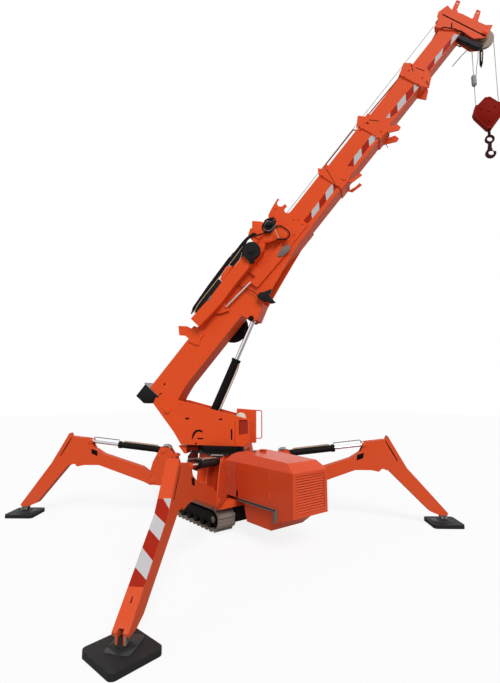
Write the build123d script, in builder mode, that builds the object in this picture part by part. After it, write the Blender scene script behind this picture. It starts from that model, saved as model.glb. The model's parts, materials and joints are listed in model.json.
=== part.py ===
from build123d import *
import math
import os

os.makedirs("parts", exist_ok=True)

# Tracked crane on four swinging outriggers, millimetres, +Z up.
# The origin is on the ground under the slewing axis. The engine housing points along +X.

# Clearances
seat_gap = 0.3             # pieces that rest on each other
running_gap = 0.3          # pins and rods in their holes

# Running gear
track_gauge = 630.0        # distance between the centres of the two tracks
track_width = 240.0
track_lift = 20.0          # tracks hang just clear of the ground while the outriggers carry the crane
wheel_base = 840.0         # idler to sprocket
belt_radius = 128.0        # outside of the belt, without its lugs
belt_thickness = 16.0
lug_height = 14.0
lug_pitch = 86.0
lug_length = 42.0
roller_radius = 38.0
roller_count = 5
sprocket_teeth = 13
tooth_height = 14.0

# Chassis
chassis_length = 1180.0
chassis_width = 360.0
chassis_bottom = 110.0
beam_bottom = 315.0
beam_top = 395.0
beam_width = 110.0
post_front_x = 545.0
post_rear_x = -525.0
post_y = 420.0
king_radius = 45.0
king_top = 828.0
pedestal_length = 580.0
pedestal_width = 480.0
pedestal_top = 862.0
deck_thickness = 10.0
ring_radius = 285.0
turret_floor = 966.0
mount_length = 350.0       # carrier of the engine housing

# Engine housing
housing_rear = 375.0
housing_front = 1605.0
housing_half = 256.0
housing_low = 437.0
nose_rear = 1345.0
nose_low = 300.0
housing_rim = 838.0
housing_roof = 952.0
roof_half = 200.0
housing_wall = 6.0
belly_half = 235.0
belly_low = 200.0
engine_length = 350.0
engine_half = 170.0
engine_height = 428.0
grille_half = 225.0
grille_low = 420.0
grille_high = 815.0
grille_border = 12.0
slat_count = 14
rail_width = 23.7

# Superstructure
slew_angle = 37.4          # boom direction at rest, from +X towards +Y
luff_angle = 50.0          # boom above the horizontal at rest
boom_play = 5.0            # between the boom's foot and each turret plate
plate_thickness = 15.0
floor_thickness = 20.0
pivot_s = -745.0           # boom pivot: distance along the boom direction, and height
pivot_z = 1410.0
crease_s = -654.0          # zero of the boom's own axes: where its lower edge leaves the turret
crease_z = 1555.0
pin_radius = 40.0
ear_pin_radius = 22.0

# Boom, along and across its own axes
base_height = 394.0
base_width = 290.0
base_wall = 8.0
base_front = 2974.0
section_wall = 6.0
collar_lip = 14.0          # how far a section's collar stands out from its walls
boom_mid = 197.0           # centre line above the lower face of the base
tail_a = -110.0
foot_wall = 30.0
tail_plate_thickness = 15.0
winch_a = 1253.0
winch_p = 123.0
winch_radius = 223.0

# Luffing cylinder
luff_foot_s = -276.0
luff_foot_z = 1080.0
luff_head_a = 1526.0       # its upper pin, on the boom's own axes
luff_head_p = -132.0
luff_barrel_radius = 57.0
luff_rod_radius = 29.0
luff_barrel_length = 1105.0
luff_rod_tail = 560.0

# Boom head and hook
head_a = 6110.0            # end of the last section
head_half = 110.0
head_plate = 14.0
sheave_a = 6215.0
sheave_p = -185.0
sheave_radius = 125.0
flange_height = 9.0
sheave_pin = 24.0
jib_bore = 15.0
rope_radius = 5.0
block_top = 5365.0
block_low = 4940.0
block_half = 38.0
hook_thick = 24.0

# Leg, in its own upright plane: distance from the yaw axis, and height
leg_azimuth = 50.0
leg_half = 58.0
leg_pivot_r = 290.0
leg_pivot_z = 470.0
leg_pin_radius = 24.0
leg_foot_r = 160.0         # lower pin of the leg's cylinder
leg_foot_z = 868.0
foot_pin_radius = 15.0
leg_head_r = 1175.0        # rod eye in the knee
leg_head_z = 985.0
eye_half = 30.0
leg_barrel_radius = 42.0
leg_barrel_length = 625.0
leg_rod_radius = 22.0
leg_rod_tail = 345.0
side_plate = 14.0
pad_reach = 2150.0
pad_size = 375.0
pad_thickness = 46.0
ankle_z = 98.0
ankle_radius = 12.0
tongue_half = 19.7
fork_thickness = 12.0


def turn(angle, x, y):
    """Horizontal point x along and y across a direction."""
    a = math.radians(angle)
    return (x * math.cos(a) - y * math.sin(a), x * math.sin(a) + y * math.cos(a))


def upright(angle, x=0.0, y=0.0):
    """Upright plane through x, y: its own x is horizontal at the angle, its own y is up."""
    a = math.radians(angle)
    return Plane(origin=(x, y, 0), x_dir=(math.cos(a), math.sin(a), 0), z_dir=(math.sin(a), -math.cos(a), 0))


def tilted(plane, origin, angle):
    """The plane turned about its normal, with its origin moved to a point given in it."""
    a = math.radians(angle)
    x_dir = plane.x_dir * math.cos(a) + plane.y_dir * math.sin(a)
    return Plane(origin=plane.from_local_coords(origin), x_dir=x_dir, z_dir=plane.z_dir)


def slab(plane, outline, low, high, mode=Mode.ADD, rounding=0.0):
    """Plate of the outline between two distances from the plane."""
    with BuildSketch(plane.offset(low)) as section:
        with BuildLine():
            Polyline(*outline, close=True)
        make_face()
        if rounding:
            fillet(section.vertices(), rounding)
    extrude(section.sketch, amount=high - low, mode=mode)


def twin_plates(plane, outline, inside, outside):
    """Two like plates, one each side of the plane."""
    slab(plane, outline, inside, outside)
    slab(plane, outline, -outside, -inside)


def disc(plane, centre, radius, low, high, mode=Mode.ADD):
    """Round boss or hole across the plane."""
    with BuildSketch(plane.offset(low)) as section:
        with Locations(centre):
            Circle(radius)
    extrude(section.sketch, amount=high - low, mode=mode)


def pin(plane, centre, radius, low, high, sides=16):
    """Pin across the plane, its corners on the radius."""
    with BuildSketch(plane.offset(low)) as section:
        with Locations(centre):
            RegularPolygon(radius, sides)
    extrude(section.sketch, amount=high - low)


def pin_hole(plane, centre, radius, low, high, sides=16):
    """Hole for a pin, its flats clear of the pin's corners."""
    with BuildSketch(plane.offset(low)) as section:
        with Locations(centre):
            RegularPolygon(radius + running_gap, sides, major_radius=False)
    extrude(section.sketch, amount=high - low, mode=Mode.SUBTRACT)


def pipe(start, end, radius, sides=8, mode=Mode.ADD):
    """Slim bar with its corners on the radius, or bore with its flats on it, between two points."""
    axis = Vector(*end) - Vector(*start)
    with BuildSketch(Plane(origin=start, z_dir=axis)) as section:
        RegularPolygon(radius, sides, major_radius=mode == Mode.ADD)
    extrude(section.sketch, amount=axis.length, mode=mode)


def save(piece, name):
    piece.part.label = name
    export_step(piece.part, "parts/" + name + ".step")


turret_side = upright(slew_angle)
boom_side = tilted(turret_side, (crease_s, crease_z), luff_angle)


def boom_to_turret(a, p):
    """Point of the boom's axes in the turret's upright plane."""
    point = turret_side.to_local_coords(boom_side.from_local_coords((a, p, 0)))
    return (point.X, point.Y)


# Tracks: one closed rubber loop each, lugs in its outline
axle_z = track_lift + belt_radius + lug_height
half_base = wheel_base / 2
straight_lugs = int(wheel_base // lug_pitch)
arc_lugs = int(math.pi * belt_radius // lug_pitch)
lug_mid = belt_radius + lug_height / 2 - 1
lug_places = []
for i in range(straight_lugs):
    x = -half_base + (i + 0.5) * wheel_base / straight_lugs
    lug_places.append((x, lug_mid, 0))
    lug_places.append((x, -lug_mid, 0))
for i in range(arc_lugs):
    a = -90 + (i + 0.5) * 180 / arc_lugs
    lug_places.append((half_base + lug_mid * math.cos(math.radians(a)), lug_mid * math.sin(math.radians(a)), a - 90))
    lug_places.append((-half_base - lug_mid * math.cos(math.radians(a)), lug_mid * math.sin(math.radians(a)), 90 - a))

belt_inside = belt_radius - belt_thickness - seat_gap
track_half = track_width / 2
wheel_half = track_half * 0.5
roller_half = track_half - 15
for side, name in ((-1, "right"), (1, "left")):
    track_plane = Plane(origin=(0, side * track_gauge / 2, axle_z), x_dir=(1, 0, 0), z_dir=(0, -1, 0))
    with BuildPart() as track:
        with BuildSketch(track_plane):
            SlotCenterToCenter(wheel_base, 2 * belt_radius)
            for x, z, a in lug_places:
                with Locations(Location((x, z, 0), (0, 0, a))):
                    Rectangle(lug_length, lug_height + 2)
            SlotCenterToCenter(wheel_base, 2 * (belt_radius - belt_thickness), mode=Mode.SUBTRACT)
        extrude(amount=track_half, both=True)
    save(track, "track_" + name)

    # Track frame: box beam with idler, toothed sprocket and bottom rollers, bolted to the chassis side
    stub = track_gauge / 2 - chassis_width / 2
    tooth_step = 360 / sprocket_teeth
    sprocket = []
    for i in range(sprocket_teeth):
        for turned, tip in ((-0.34, 0), (-0.18, 1), (0.18, 1), (0.34, 0)):
            a = math.radians((i + turned) * tooth_step)
            r = belt_inside - tooth_height * (1 - tip)
            sprocket.append((-half_base + r * math.cos(a), r * math.sin(a)))
    with BuildPart() as track_frame:
        slab(
            track_plane,
            [(-half_base, -32), (-330, -58), (330, -58), (half_base, -32), (half_base, 32), (320, 60), (-320, 60), (-half_base, 32)],
            -wheel_half - 20,
            wheel_half + 20,
        )
        slab(track_plane, sprocket, -wheel_half * 0.5, wheel_half * 0.5)
        pin(track_plane, (-half_base, 0), 72, -track_half + 25, track_half - 25, sides=16)
        pin(track_plane, (half_base, 0), belt_inside, -wheel_half, wheel_half, sides=24)
        pin(track_plane, (half_base, 0), 48, -track_half + 12, track_half - 12)
        for i in range(roller_count):
            x = (i - (roller_count - 1) / 2) * (wheel_base - 200) / (roller_count - 1)
            pin(track_plane, (x, -belt_inside + roller_radius), roller_radius, -roller_half, roller_half, sides=12)
        for x in (-200, 200):
            pin(track_plane, (x, 0), 50, -stub if side < 0 else 0, 0 if side < 0 else stub, sides=12)
    save(track_frame, "track_frame_" + name)

# Chassis: centre box with the carrier of the engine housing at its front end
chassis_x = 10.0
chassis_end = chassis_length / 2
mount_rear = housing_rear + 10
with BuildPart() as chassis_frame:
    slab(
        upright(0),
        [
            (chassis_x - chassis_end, chassis_bottom + 70),
            (chassis_x - chassis_end + 60, chassis_bottom),
            (chassis_x + chassis_end - 90, chassis_bottom),
            (chassis_x + chassis_end, chassis_bottom + 90),
            (chassis_x + chassis_end, beam_bottom),
            (chassis_x - chassis_end, beam_bottom),
        ],
        -chassis_width / 2,
        chassis_width / 2,
    )
    slab(
        upright(0),
        [
            (mount_rear, beam_bottom - 1),
            (mount_rear + 95, beam_bottom - 1),
            (mount_rear + 95, beam_top + 1),
            (mount_rear + mount_length, beam_top + 1),
            (mount_rear + mount_length, housing_low - seat_gap),
            (mount_rear, housing_low - seat_gap),
        ],
        -150,
        150,
    )
save(chassis_frame, "chassis_frame")

# Cross beams, each with a king post at both ends
for name, post_x in (("front", post_front_x), ("rear", post_rear_x)):
    with BuildPart() as cross_beam:
        with BuildSketch(Plane.XY.offset(beam_bottom + seat_gap)):
            with Locations((post_x, 0)):
                Rectangle(beam_width, 2 * post_y)
            with Locations((post_x, post_y), (post_x, -post_y)):
                RegularPolygon(beam_width / 2, 16, major_radius=False)
        extrude(amount=beam_top - beam_bottom - seat_gap)
        with BuildSketch(Plane.XY.offset(beam_top)):
            with Locations((post_x, post_y), (post_x, -post_y)):
                RegularPolygon(king_radius, 24)
        extrude(amount=king_top - beam_top)
    save(cross_beam, "cross_beam_" + name)

# Pedestal under the slewing ring, open from side to side
window_half = 200.0
window_low = 480.0
window_high = 780.0
pedestal_x = -10.0
with BuildPart() as pedestal:
    with BuildSketch(Plane.XY.offset(beam_bottom + seat_gap)):
        with Locations((pedestal_x, 0)):
            Rectangle(pedestal_length, pedestal_width)
    extrude(amount=pedestal_top - beam_bottom - seat_gap, taper=4)
    slab(
        upright(0, pedestal_x, 0),
        [(-window_half, window_low), (window_half, window_low), (window_half, window_high), (-window_half, window_high)],
        -pedestal_width,
        pedestal_width,
        mode=Mode.SUBTRACT,
    )
save(pedestal, "pedestal")

with BuildPart() as deck_plate:
    with BuildSketch(Plane.XY.offset(pedestal_top)):
        with Locations((-30, 0)):
            Rectangle(640, 620)
    extrude(amount=deck_thickness)
    chamfer(deck_plate.edges().filter_by(Axis.Z), 50)
save(deck_plate, "deck_plate")

# Slewing ring: two races with a gap line between them
ring_low = pedestal_top + deck_thickness
ring_high = turret_floor - seat_gap
ring_split = (ring_low + ring_high) / 2
with BuildPart() as slew_ring:
    for low, high, radius in (
        (ring_low, ring_split - 4, ring_radius),
        (ring_split - 4, ring_split + 4, ring_radius - 10),
        (ring_split + 4, ring_high, ring_radius),
    ):
        with BuildSketch(Plane.XY.offset(low)):
            RegularPolygon(radius, 48)
        extrude(amount=high - low)
save(slew_ring, "slew_ring")


# Engine housing: sheet-metal hood with a rounded rear top, a deep nose and a belly pan
def hood(shrink, mode):
    """Closed hood form, made smaller by shrink on every side."""
    across = [
        (-housing_half, belly_low),
        (housing_half, belly_low),
        (housing_half, housing_rim),
        (roof_half, housing_roof),
        (-roof_half, housing_roof),
        (-housing_half, housing_rim),
    ]
    front_plane = Plane(origin=(housing_rear, 0, 0), x_dir=(0, 1, 0), z_dir=(1, 0, 0))
    with BuildPart(mode=Mode.PRIVATE) as form:
        with BuildSketch(upright(0).offset(-housing_half)) as profile:
            with BuildLine():
                Polyline(
                    (housing_rear, housing_roof - 212),
                    (housing_rear, housing_low),
                    (nose_rear, housing_low),
                    (nose_rear, nose_low),
                    (housing_front, nose_low + 91),
                    (housing_front, housing_rim),
                    (housing_front - 115, housing_roof - 30),
                    (housing_rear + 345, housing_roof),
                )
                ThreePointArc(
                    (housing_rear + 345, housing_roof),
                    (housing_rear + 80, housing_roof - 92),
                    (housing_rear, housing_roof - 212),
                )
            make_face()
            if shrink:
                offset(amount=-shrink, kind=Kind.INTERSECTION)
        extrude(profile.sketch, amount=2 * housing_half)
        with BuildSketch(front_plane) as section:
            with BuildLine():
                Polyline(*across, close=True)
            make_face()
            if shrink:
                offset(amount=-shrink, kind=Kind.INTERSECTION)
        extrude(section.sketch, amount=housing_front - housing_rear, mode=Mode.INTERSECT)
    add(form.part, mode=mode)


def belly(shrink, mode):
    """Belly pan below the engine, open at its top into the hood."""
    with BuildSketch(upright(0).offset(shrink - belly_half)) as profile:
        with BuildLine():
            Polyline(
                (nose_rear - 600, housing_low + 40),
                (nose_rear - 518, belly_low),
                (nose_rear - 99, belly_low),
                (nose_rear + 55, nose_low + 18),
                (nose_rear + 55, housing_low + 40),
                close=True,
            )
        make_face()
        if shrink:
            offset(amount=-shrink, kind=Kind.INTERSECTION)
    extrude(profile.sketch, amount=2 * (belly_half - shrink), mode=mode)


with BuildPart() as engine_housing:
    hood(0, Mode.ADD)
    belly(0, Mode.ADD)
    hood(housing_wall, Mode.SUBTRACT)
    belly(housing_wall, Mode.SUBTRACT)
    slab(
        upright(90, housing_front - 30),
        [(-grille_half, grille_low), (grille_half, grille_low), (grille_half, grille_high), (-grille_half, grille_high)],
        -30,
        60,
        mode=Mode.SUBTRACT,
    )
save(engine_housing, "engine_housing")

with BuildPart() as engine_block:
    with BuildSketch(Plane.XY.offset(belly_low + housing_wall + seat_gap)):
        with Locations((nose_rear - 290, 0)):
            Rectangle(engine_length, 2 * engine_half)
    extrude(amount=engine_height)
save(engine_block, "engine_block")

# Louvre in the housing's end: a frame with sloping slats
with BuildPart() as housing_grille:
    grille_plane = Plane(origin=(housing_front - housing_wall, 0, 0), x_dir=(0, 1, 0), z_dir=(1, 0, 0))
    frame_half = grille_half - seat_gap
    frame_low = grille_low + seat_gap
    frame_high = grille_high - seat_gap
    with BuildSketch(grille_plane):
        with Locations((0, (frame_low + frame_high) / 2)):
            Rectangle(2 * frame_half, frame_high - frame_low)
            Rectangle(2 * (frame_half - grille_border), frame_high - frame_low - 2 * grille_border, mode=Mode.SUBTRACT)
    extrude(amount=housing_wall)
    slat_pitch = (frame_high - frame_low - 2 * grille_border) / slat_count
    with BuildSketch(Plane(origin=(0, 0, 0), x_dir=(1, 0, 0), z_dir=(0, -1, 0))) as slats:
        for i in range(slat_count):
            z = frame_low + grille_border + (i + 0.5) * slat_pitch
            with Locations(Location((housing_front - 8, z, 0), (0, 0, -55))):
                Rectangle(slat_pitch * 0.9, 3)
    extrude(slats.sketch, amount=frame_half - grille_border + 1, both=True)
save(housing_grille, "housing_grille")

# Step rails along both lower edges of the housing
with BuildPart() as housing_rail:
    for side in (-1, 1):
        rail_plane = upright(0, 0, side * (housing_half + seat_gap + rail_width / 2))
        slab(
            rail_plane,
            [
                (nose_rear - 642, housing_low + 3),
                (nose_rear + 21, housing_low + 3),
                (nose_rear + 21, nose_low + 8),
                (nose_rear - 18, nose_low + 8),
                (nose_rear - 18, housing_low - 22),
                (nose_rear - 642, housing_low - 22),
            ],
            -rail_width / 2,
            rail_width / 2,
        )
save(housing_rail, "housing_rail")

# Turret: floor, two side plates, rear plate, cylinder ears and the boom pin
floor_top = turret_floor + floor_thickness
plate_inside = base_width / 2 + boom_play
plate_outside = plate_inside + plate_thickness
front_s = 395.0
rear_s = -537.0
plate_outline = [
    (-959, 1504),
    (pivot_s - 180, crease_z + 35),
    (crease_s + 5, crease_z + 5),
    (crease_s + 103, crease_z - 8),
    (front_s - 15, 1316),
    (front_s, 1290),
    (front_s, 1010),
    (front_s - 35, 985),
    (front_s - 65, turret_floor),
    (rear_s, turret_floor),
    (crease_s + 1, 1137),
]
window = [(270, 1112), (387, 1112), (387, 1301), (270, 1301)]
luff_head_s, luff_head_z = boom_to_turret(luff_head_a, luff_head_p)
luff_vector = Vector(luff_head_s - luff_foot_s, luff_head_z - luff_foot_z)
luff_length = luff_vector.length
luff_tilt = math.degrees(math.atan2(luff_vector.Y, luff_vector.X))
ear_outline = [
    (luff_foot_s - 85, floor_top - 5),
    (luff_foot_s + 85, floor_top - 5),
    (luff_foot_s + 48, luff_foot_z + 50),
    (luff_foot_s - 48, luff_foot_z + 50),
]
with BuildPart() as turret_frame:
    twin_plates(turret_side, plate_outline, plate_inside, plate_outside)
    slab(
        turret_side,
        [(rear_s, turret_floor), (front_s - 65, turret_floor), (front_s - 65, floor_top), (rear_s, floor_top)],
        -plate_outside,
        plate_outside,
    )
    slab(
        turret_side,
        [(rear_s - 13, floor_top - 1), (rear_s + 9, floor_top - 1), (crease_s + 24, 1146), (crease_s + 10, 1150)],
        -plate_outside,
        plate_outside,
    )
    twin_plates(turret_side, ear_outline, 45, 60)
    pin(turret_side, (luff_foot_s, luff_foot_z), ear_pin_radius, -60, 60)
    pin(turret_side, (pivot_s, pivot_z), pin_radius, -plate_outside - 12, plate_outside + 12, sides=24)
    slab(turret_side, window, plate_inside - 1, plate_outside + 1, mode=Mode.SUBTRACT)
save(turret_frame, "turret_frame")

# Front boxes of the turret, one each side of the cylinder's slot
box_floor = floor_top + seat_gap
with BuildPart() as turret_box_near:
    slab(
        turret_side,
        [(208, box_floor), (front_s, box_floor), (front_s, 1300), (front_s - 20, 1312), (208, 1345)],
        70,
        plate_inside - seat_gap,
    )
save(turret_box_near, "turret_box_near")

far_front = 428.0
with BuildPart() as turret_box_far:
    slab(
        turret_side,
        [(172, box_floor), (far_front, box_floor), (far_front, 1421), (172, 1438)],
        seat_gap - plate_inside,
        -70,
    )
save(turret_box_far, "turret_box_far")

# Guard hoop in front of the far box
guard_w = -120.0
guard_low = 1045.0
guard_high = 1415.0
guard_points = [(far_front + seat_gap, guard_low), (495, guard_low), (510, guard_low + 18),
                (510, guard_high - 18), (495, guard_high), (far_front + seat_gap, guard_high)]
with BuildPart() as guard_rail:
    places = [turret_side.from_local_coords((s, z, guard_w)) for s, z in guard_points]
    for a, b in zip(places, places[1:]):
        pipe(a, b, 7)
save(guard_rail, "guard_rail")


def box_ring(low_a, high_a, height, width, mode=Mode.ADD):
    """Length of rectangular bar about the boom's centre line."""
    outline = [
        (low_a, boom_mid - height / 2),
        (high_a, boom_mid - height / 2),
        (high_a, boom_mid + height / 2),
        (low_a, boom_mid + height / 2),
    ]
    slab(boom_side, outline, -width / 2, width / 2, mode=mode)


# Boom base: box girder on a bent foot, hooks for the stowed jib, plates for the luffing cylinder
base_half = base_width / 2
base_low = boom_mid - base_height / 2
pivot = boom_side.to_local_coords(turret_side.from_local_coords((pivot_s, pivot_z, 0)))
foot_outline = [
    (280, base_low + 1),
    (180, base_low - 12),
    (83, base_low - 27),
    (0, base_low - 50),
    (pivot.X + 70, pivot.Y - 74),
    (pivot.X - 45, pivot.Y - 74),
    (pivot.X - 80, pivot.Y - 25),
    (pivot.X - 76, pivot.Y + 42),
    (pivot.X - 10, pivot.Y + 98),
    (tail_a - 1, base_low + 235),
    (tail_a + 50, base_low + 235),
    (tail_a + 90, base_low + 60),
]
hook_plate = [
    (base_front - 414, 60),
    (base_front - 14, 60),
    (base_front - 6, 330),
    (base_front + 41, 488),
    (base_front + 50, 632),
    (base_front - 104, 612),
    (base_front - 204, 590),
    (base_front - 294, 520),
    (base_front - 414, 390),
]
lower_hook = [(811, 626), (885, 521), (902, 448), (954, 442), (975, 374), (975, 253),
              (870, 248), (788, 212), (736, 357), (770, 395), (769, 456), (720, 528)]
luff_plate = [
    (luff_head_a - 51, base_low + 1),
    (luff_head_a - 22, luff_head_p - 5),
    (luff_head_a + 30, luff_head_p - 77),
    (luff_head_a + 258, luff_head_p - 8),
    (luff_head_a + 690, luff_head_p + 62),
    (luff_head_a + 1174, base_low + 1),
]
with BuildPart() as boom_base:
    box_ring(tail_a, base_front, base_height, base_width)
    slab(boom_side, foot_outline, -base_half, base_half)
    slab(boom_side, foot_outline, foot_wall - base_half, base_half - foot_wall, mode=Mode.SUBTRACT)
    slab(
        boom_side,
        [(280, base_low + 1), (180, base_low - 12), (83, base_low - 27), (0, base_low - 50),
         (-4, base_low - 42), (80, base_low - 19), (178, base_low - 4), (280, base_low + 7)],
        -base_half,
        base_half,
    )
    twin_plates(boom_side, hook_plate, base_half - 1, base_half + 15)
    slab(boom_side, lower_hook, base_half - 1, base_half + 15)
    twin_plates(boom_side, luff_plate, base_half - 15, base_half)
    slab(
        boom_side,
        [(luff_head_a + 30, luff_head_p - 77), (luff_head_a + 258, luff_head_p - 8),
         (luff_head_a + 258, luff_head_p), (luff_head_a + 30, luff_head_p - 67)],
        -base_half + 10,
        base_half - 10,
    )
    for low in (36, 15 - base_half - 1):
        pin(boom_side, (luff_head_a, luff_head_p), 28, low, low + base_half - 50)
    box_ring(tail_a - 1, base_front + 1, base_height - 2 * base_wall, base_width - 2 * base_wall, mode=Mode.SUBTRACT)
    pin_hole(boom_side, (pivot.X, pivot.Y), pin_radius, -plate_inside, plate_inside, sides=24)
    for centre, radius in (((base_front + 26, 555), 55), ((base_front + 1, 415), 48)):
        with BuildSketch(boom_side.offset(-base_half - 16)) as notch:
            with Locations(centre):
                RegularPolygon(radius, 16)
        extrude(notch.sketch, amount=base_width + 32, mode=Mode.SUBTRACT)
save(boom_base, "boom_base")

# Telescoping sections: each slides in the one before it
# columns: name, height and width less than the base's, tail, front, collar, top fin, bottom fin (points from the front, up or down)
sections = [
    ("boom_section_2", 34, 28, 562, 3760, 160, [(-166, 0), (-104, 66), (-81, 0)], [(-40, 0), (60, -48), (137, -60), (131, -103), (-20, -60)]),
    ("boom_section_3", 60, 48, 1230, 4610, 200, [(-244, 0), (-90, 95), (-52, 0)], [(-118, 0), (16, -125), (60, -118), (68, -50), (0, 0)]),
    ("boom_section_4", 92, 72, 1890, 5450, 200, [(-236, 0), (-38, 66), (-8, 0)], [(-200, 0), (-166, -100), (-53, -44), (-20, 0)]),
    ("boom_section_5", 138, 100, 2500, head_a, 0, [], []),
]
outer_height, outer_width, outer_wall = base_height, base_width, base_wall
for name, lower_by, slimmer_by, tail, front, collar, top_fin, bottom_fin in sections:
    height = base_height - lower_by
    width = base_width - slimmer_by
    bottom = boom_mid - height / 2
    top = boom_mid + height / 2
    with BuildPart() as section:
        box_ring(tail, front, height, width)
        if collar:
            box_ring(front - collar, front, height + 2 * collar_lip, width + 2 * collar_lip)
            rise = top + collar_lip - 3
            drop = bottom - collar_lip + 3
            outline = [(front + a, rise + p) for a, p in top_fin]
            twin_plates(boom_side, outline, width / 2 - 2, width / 2 + collar_lip)
            outline = [(front + a, drop + p) for a, p in bottom_fin]
            twin_plates(boom_side, outline, width / 2 - 2, width / 2 + collar_lip)
        # wear pads round the tail, a sliding fit in the section outside
        pad_high = outer_height - 2 * outer_wall - 2 * seat_gap
        pad_wide = outer_width - 2 * outer_wall - 2 * seat_gap
        box_ring(tail, tail + 90, pad_high, pad_wide)
        box_ring(tail - 1, front + 1, height - 2 * section_wall, width - 2 * section_wall, mode=Mode.SUBTRACT)
    save(section, name)
    outer_height, outer_width, outer_wall = height, width, section_wall

# Boom head: two long side plates across the boom, horns for a jib, rope sheave below
head_outline = [
    (head_a + 220, 444),
    (head_a + 95, 489),
    (head_a + 42, 469),
    (head_a + 4, 420),
    (head_a - 100, 402),
    (head_a - 72, 264),
    (head_a + 6, 89),
    (head_a - 10, -38),
    (head_a - 19, -121),
    (sheave_a - 40, sheave_p - 61),
    (sheave_a + 130, sheave_p - 19),
    (sheave_a + 92, sheave_p + 56),
    (head_a + 195, 38),
    (head_a + 199, 214),
    (head_a + 184, 348),
]
horns = [
    ([(head_a + 184, 300), (head_a + 360, 350), (head_a + 355, 405), (head_a + 180, 362)], (head_a + 328, 371)),
    ([(head_a + 190, -10), (head_a + 240, -5), (head_a + 354, 46), (head_a + 356, 105), (head_a + 225, 70), (head_a + 190, 70)],
     (head_a + 326, 69)),
]
horn_inside = 60.0
horn_outside = 80.0
plate_low = head_half - head_plate
with BuildPart() as boom_head:
    twin_plates(boom_side, head_outline, plate_low - 0.7, head_half)
    slab(
        boom_side,
        [(head_a + seat_gap, 60), (head_a + 12, 60), (head_a + 22, 300), (head_a + 12, 440), (head_a + seat_gap, 440)],
        -plate_low,
        plate_low,
    )
    slab(
        boom_side,
        [(head_a + 180, -45), (head_a + 192, -45), (head_a + 196, 214), (head_a + 184, 400), (head_a + 172, 400), (head_a + 184, 214)],
        -plate_low,
        plate_low,
    )
    for outline, bore in horns:
        twin_plates(boom_side, outline, horn_inside, horn_outside)
        for low in (horn_inside - 1, -horn_outside - 1):
            disc(boom_side, bore, jib_bore, low, low + horn_outside - horn_inside + 2, mode=Mode.SUBTRACT)
    pin(boom_side, (sheave_a, sheave_p), sheave_pin, -head_half - 10, head_half + 10)
save(boom_head, "boom_head")

# Housing of the hoist limit switch, under the last section beside the sheave
with BuildPart() as switch_box:
    section_low = boom_mid - outer_height / 2
    slab(
        boom_side,
        [(head_a - 88, section_low - seat_gap), (head_a - 22, section_low - seat_gap), (head_a - 26, sheave_p + 55),
         (head_a - 26, sheave_p - 80), (head_a - 80, sheave_p - 50)],
        30,
        plate_low - 2,
    )
save(switch_box, "switch_box")

with BuildPart() as head_sheave:
    for low, high, radius in ((-16, -9, flange_height), (-9, 9, 0), (9, 16, flange_height)):
        pin(boom_side, (sheave_a, sheave_p), sheave_radius + radius, low, high, sides=36)
    pin(boom_side, (sheave_a, sheave_p), 50, 1 - plate_low, plate_low - 1)
    pin_hole(boom_side, (sheave_a, sheave_p), sheave_pin, -plate_low, plate_low)
save(head_sheave, "head_sheave")

# Hook block hanging on two falls of rope
hang_s, hang_z = boom_to_turret(sheave_a, sheave_p)
rope_s = sheave_radius + rope_radius + seat_gap
block_shoulder = block_top - 88
with BuildPart() as hoist_rope:
    for s in (hang_s - rope_s, hang_s + rope_s):
        top_point = turret_side.from_local_coords((s, hang_z, 0))
        low_point = turret_side.from_local_coords((s, block_shoulder + seat_gap, 0))
        pipe(low_point, top_point, rope_radius)
save(hoist_rope, "hoist_rope")

with BuildPart() as hook_block:
    block_mid = block_top - 190
    right_half = [(30, block_top), (rope_s - 13, block_shoulder), (rope_s + 12, block_shoulder), (175, block_mid),
                  (160, block_mid - 50), (24, block_low)]
    outline = [(hang_s + x, z) for x, z in right_half] + [(hang_s - x, z) for x, z in reversed(right_half)]
    slab(turret_side, outline, -block_half, block_half, rounding=8)
save(hook_block, "hook_block")

# Swivel hook: shank, ring and open hook
shank_low = block_low - 90
ring_z = shank_low - 36
hook_z = ring_z - 190
hook_half = hook_thick / 2
with BuildPart() as hook:
    place = turret_side.from_local_coords((hang_s, block_low, 0))
    with BuildSketch(Plane.XY.offset(shank_low)):
        with Locations((place.X, place.Y)):
            RegularPolygon(17, 12)
    extrude(amount=block_low - seat_gap - shank_low)
    pin(turret_side, (hang_s, ring_z), 56, -hook_half, hook_half, sides=16)
    pin(turret_side, (hang_s, hook_z), 62, -hook_half, hook_half, sides=16)
    slab(
        turret_side,
        [(hang_s - 20, ring_z - 50), (hang_s + 18, ring_z - 50), (hang_s + 14, hook_z + 50), (hang_s - 34, hook_z + 45)],
        -hook_half,
        hook_half,
    )
    pin_hole(turret_side, (hang_s, ring_z), 32, -hook_thick, hook_thick)
    pin_hole(turret_side, (hang_s + 5, hook_z + 6), 31, -hook_thick, hook_thick)
    slab(
        turret_side,
        [(hang_s + 16, hook_z + 12), (hang_s + 40, hook_z + 22), (hang_s + 75, hook_z + 16), (hang_s + 75, hook_z + 75),
         (hang_s + 20, hook_z + 52)],
        -hook_thick,
        hook_thick,
        mode=Mode.SUBTRACT,
    )
save(hook, "hook")

# Luffing cylinder
luff_plane = tilted(turret_side, (luff_foot_s, luff_foot_z), luff_tilt)
luff_at = luff_plane.from_local_coords
with BuildPart() as luff_barrel:
    pipe(luff_at((85, 0, 0)), luff_at((luff_barrel_length, 0, 0)), luff_barrel_radius, sides=32)
    pin(luff_plane, (0, 0), 48, -40, 40)
    slab(luff_plane, [(0, -40), (90, -40), (90, 40), (0, 40)], -40, 40)
    pin_hole(luff_plane, (0, 0), ear_pin_radius, -41, 41)
    pipe(
        luff_at((95, 0, 0)),
        luff_at((luff_barrel_length + 1, 0, 0)),
        luff_rod_radius + running_gap,
        sides=12,
        mode=Mode.SUBTRACT,
    )
save(luff_barrel, "luff_barrel")

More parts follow.
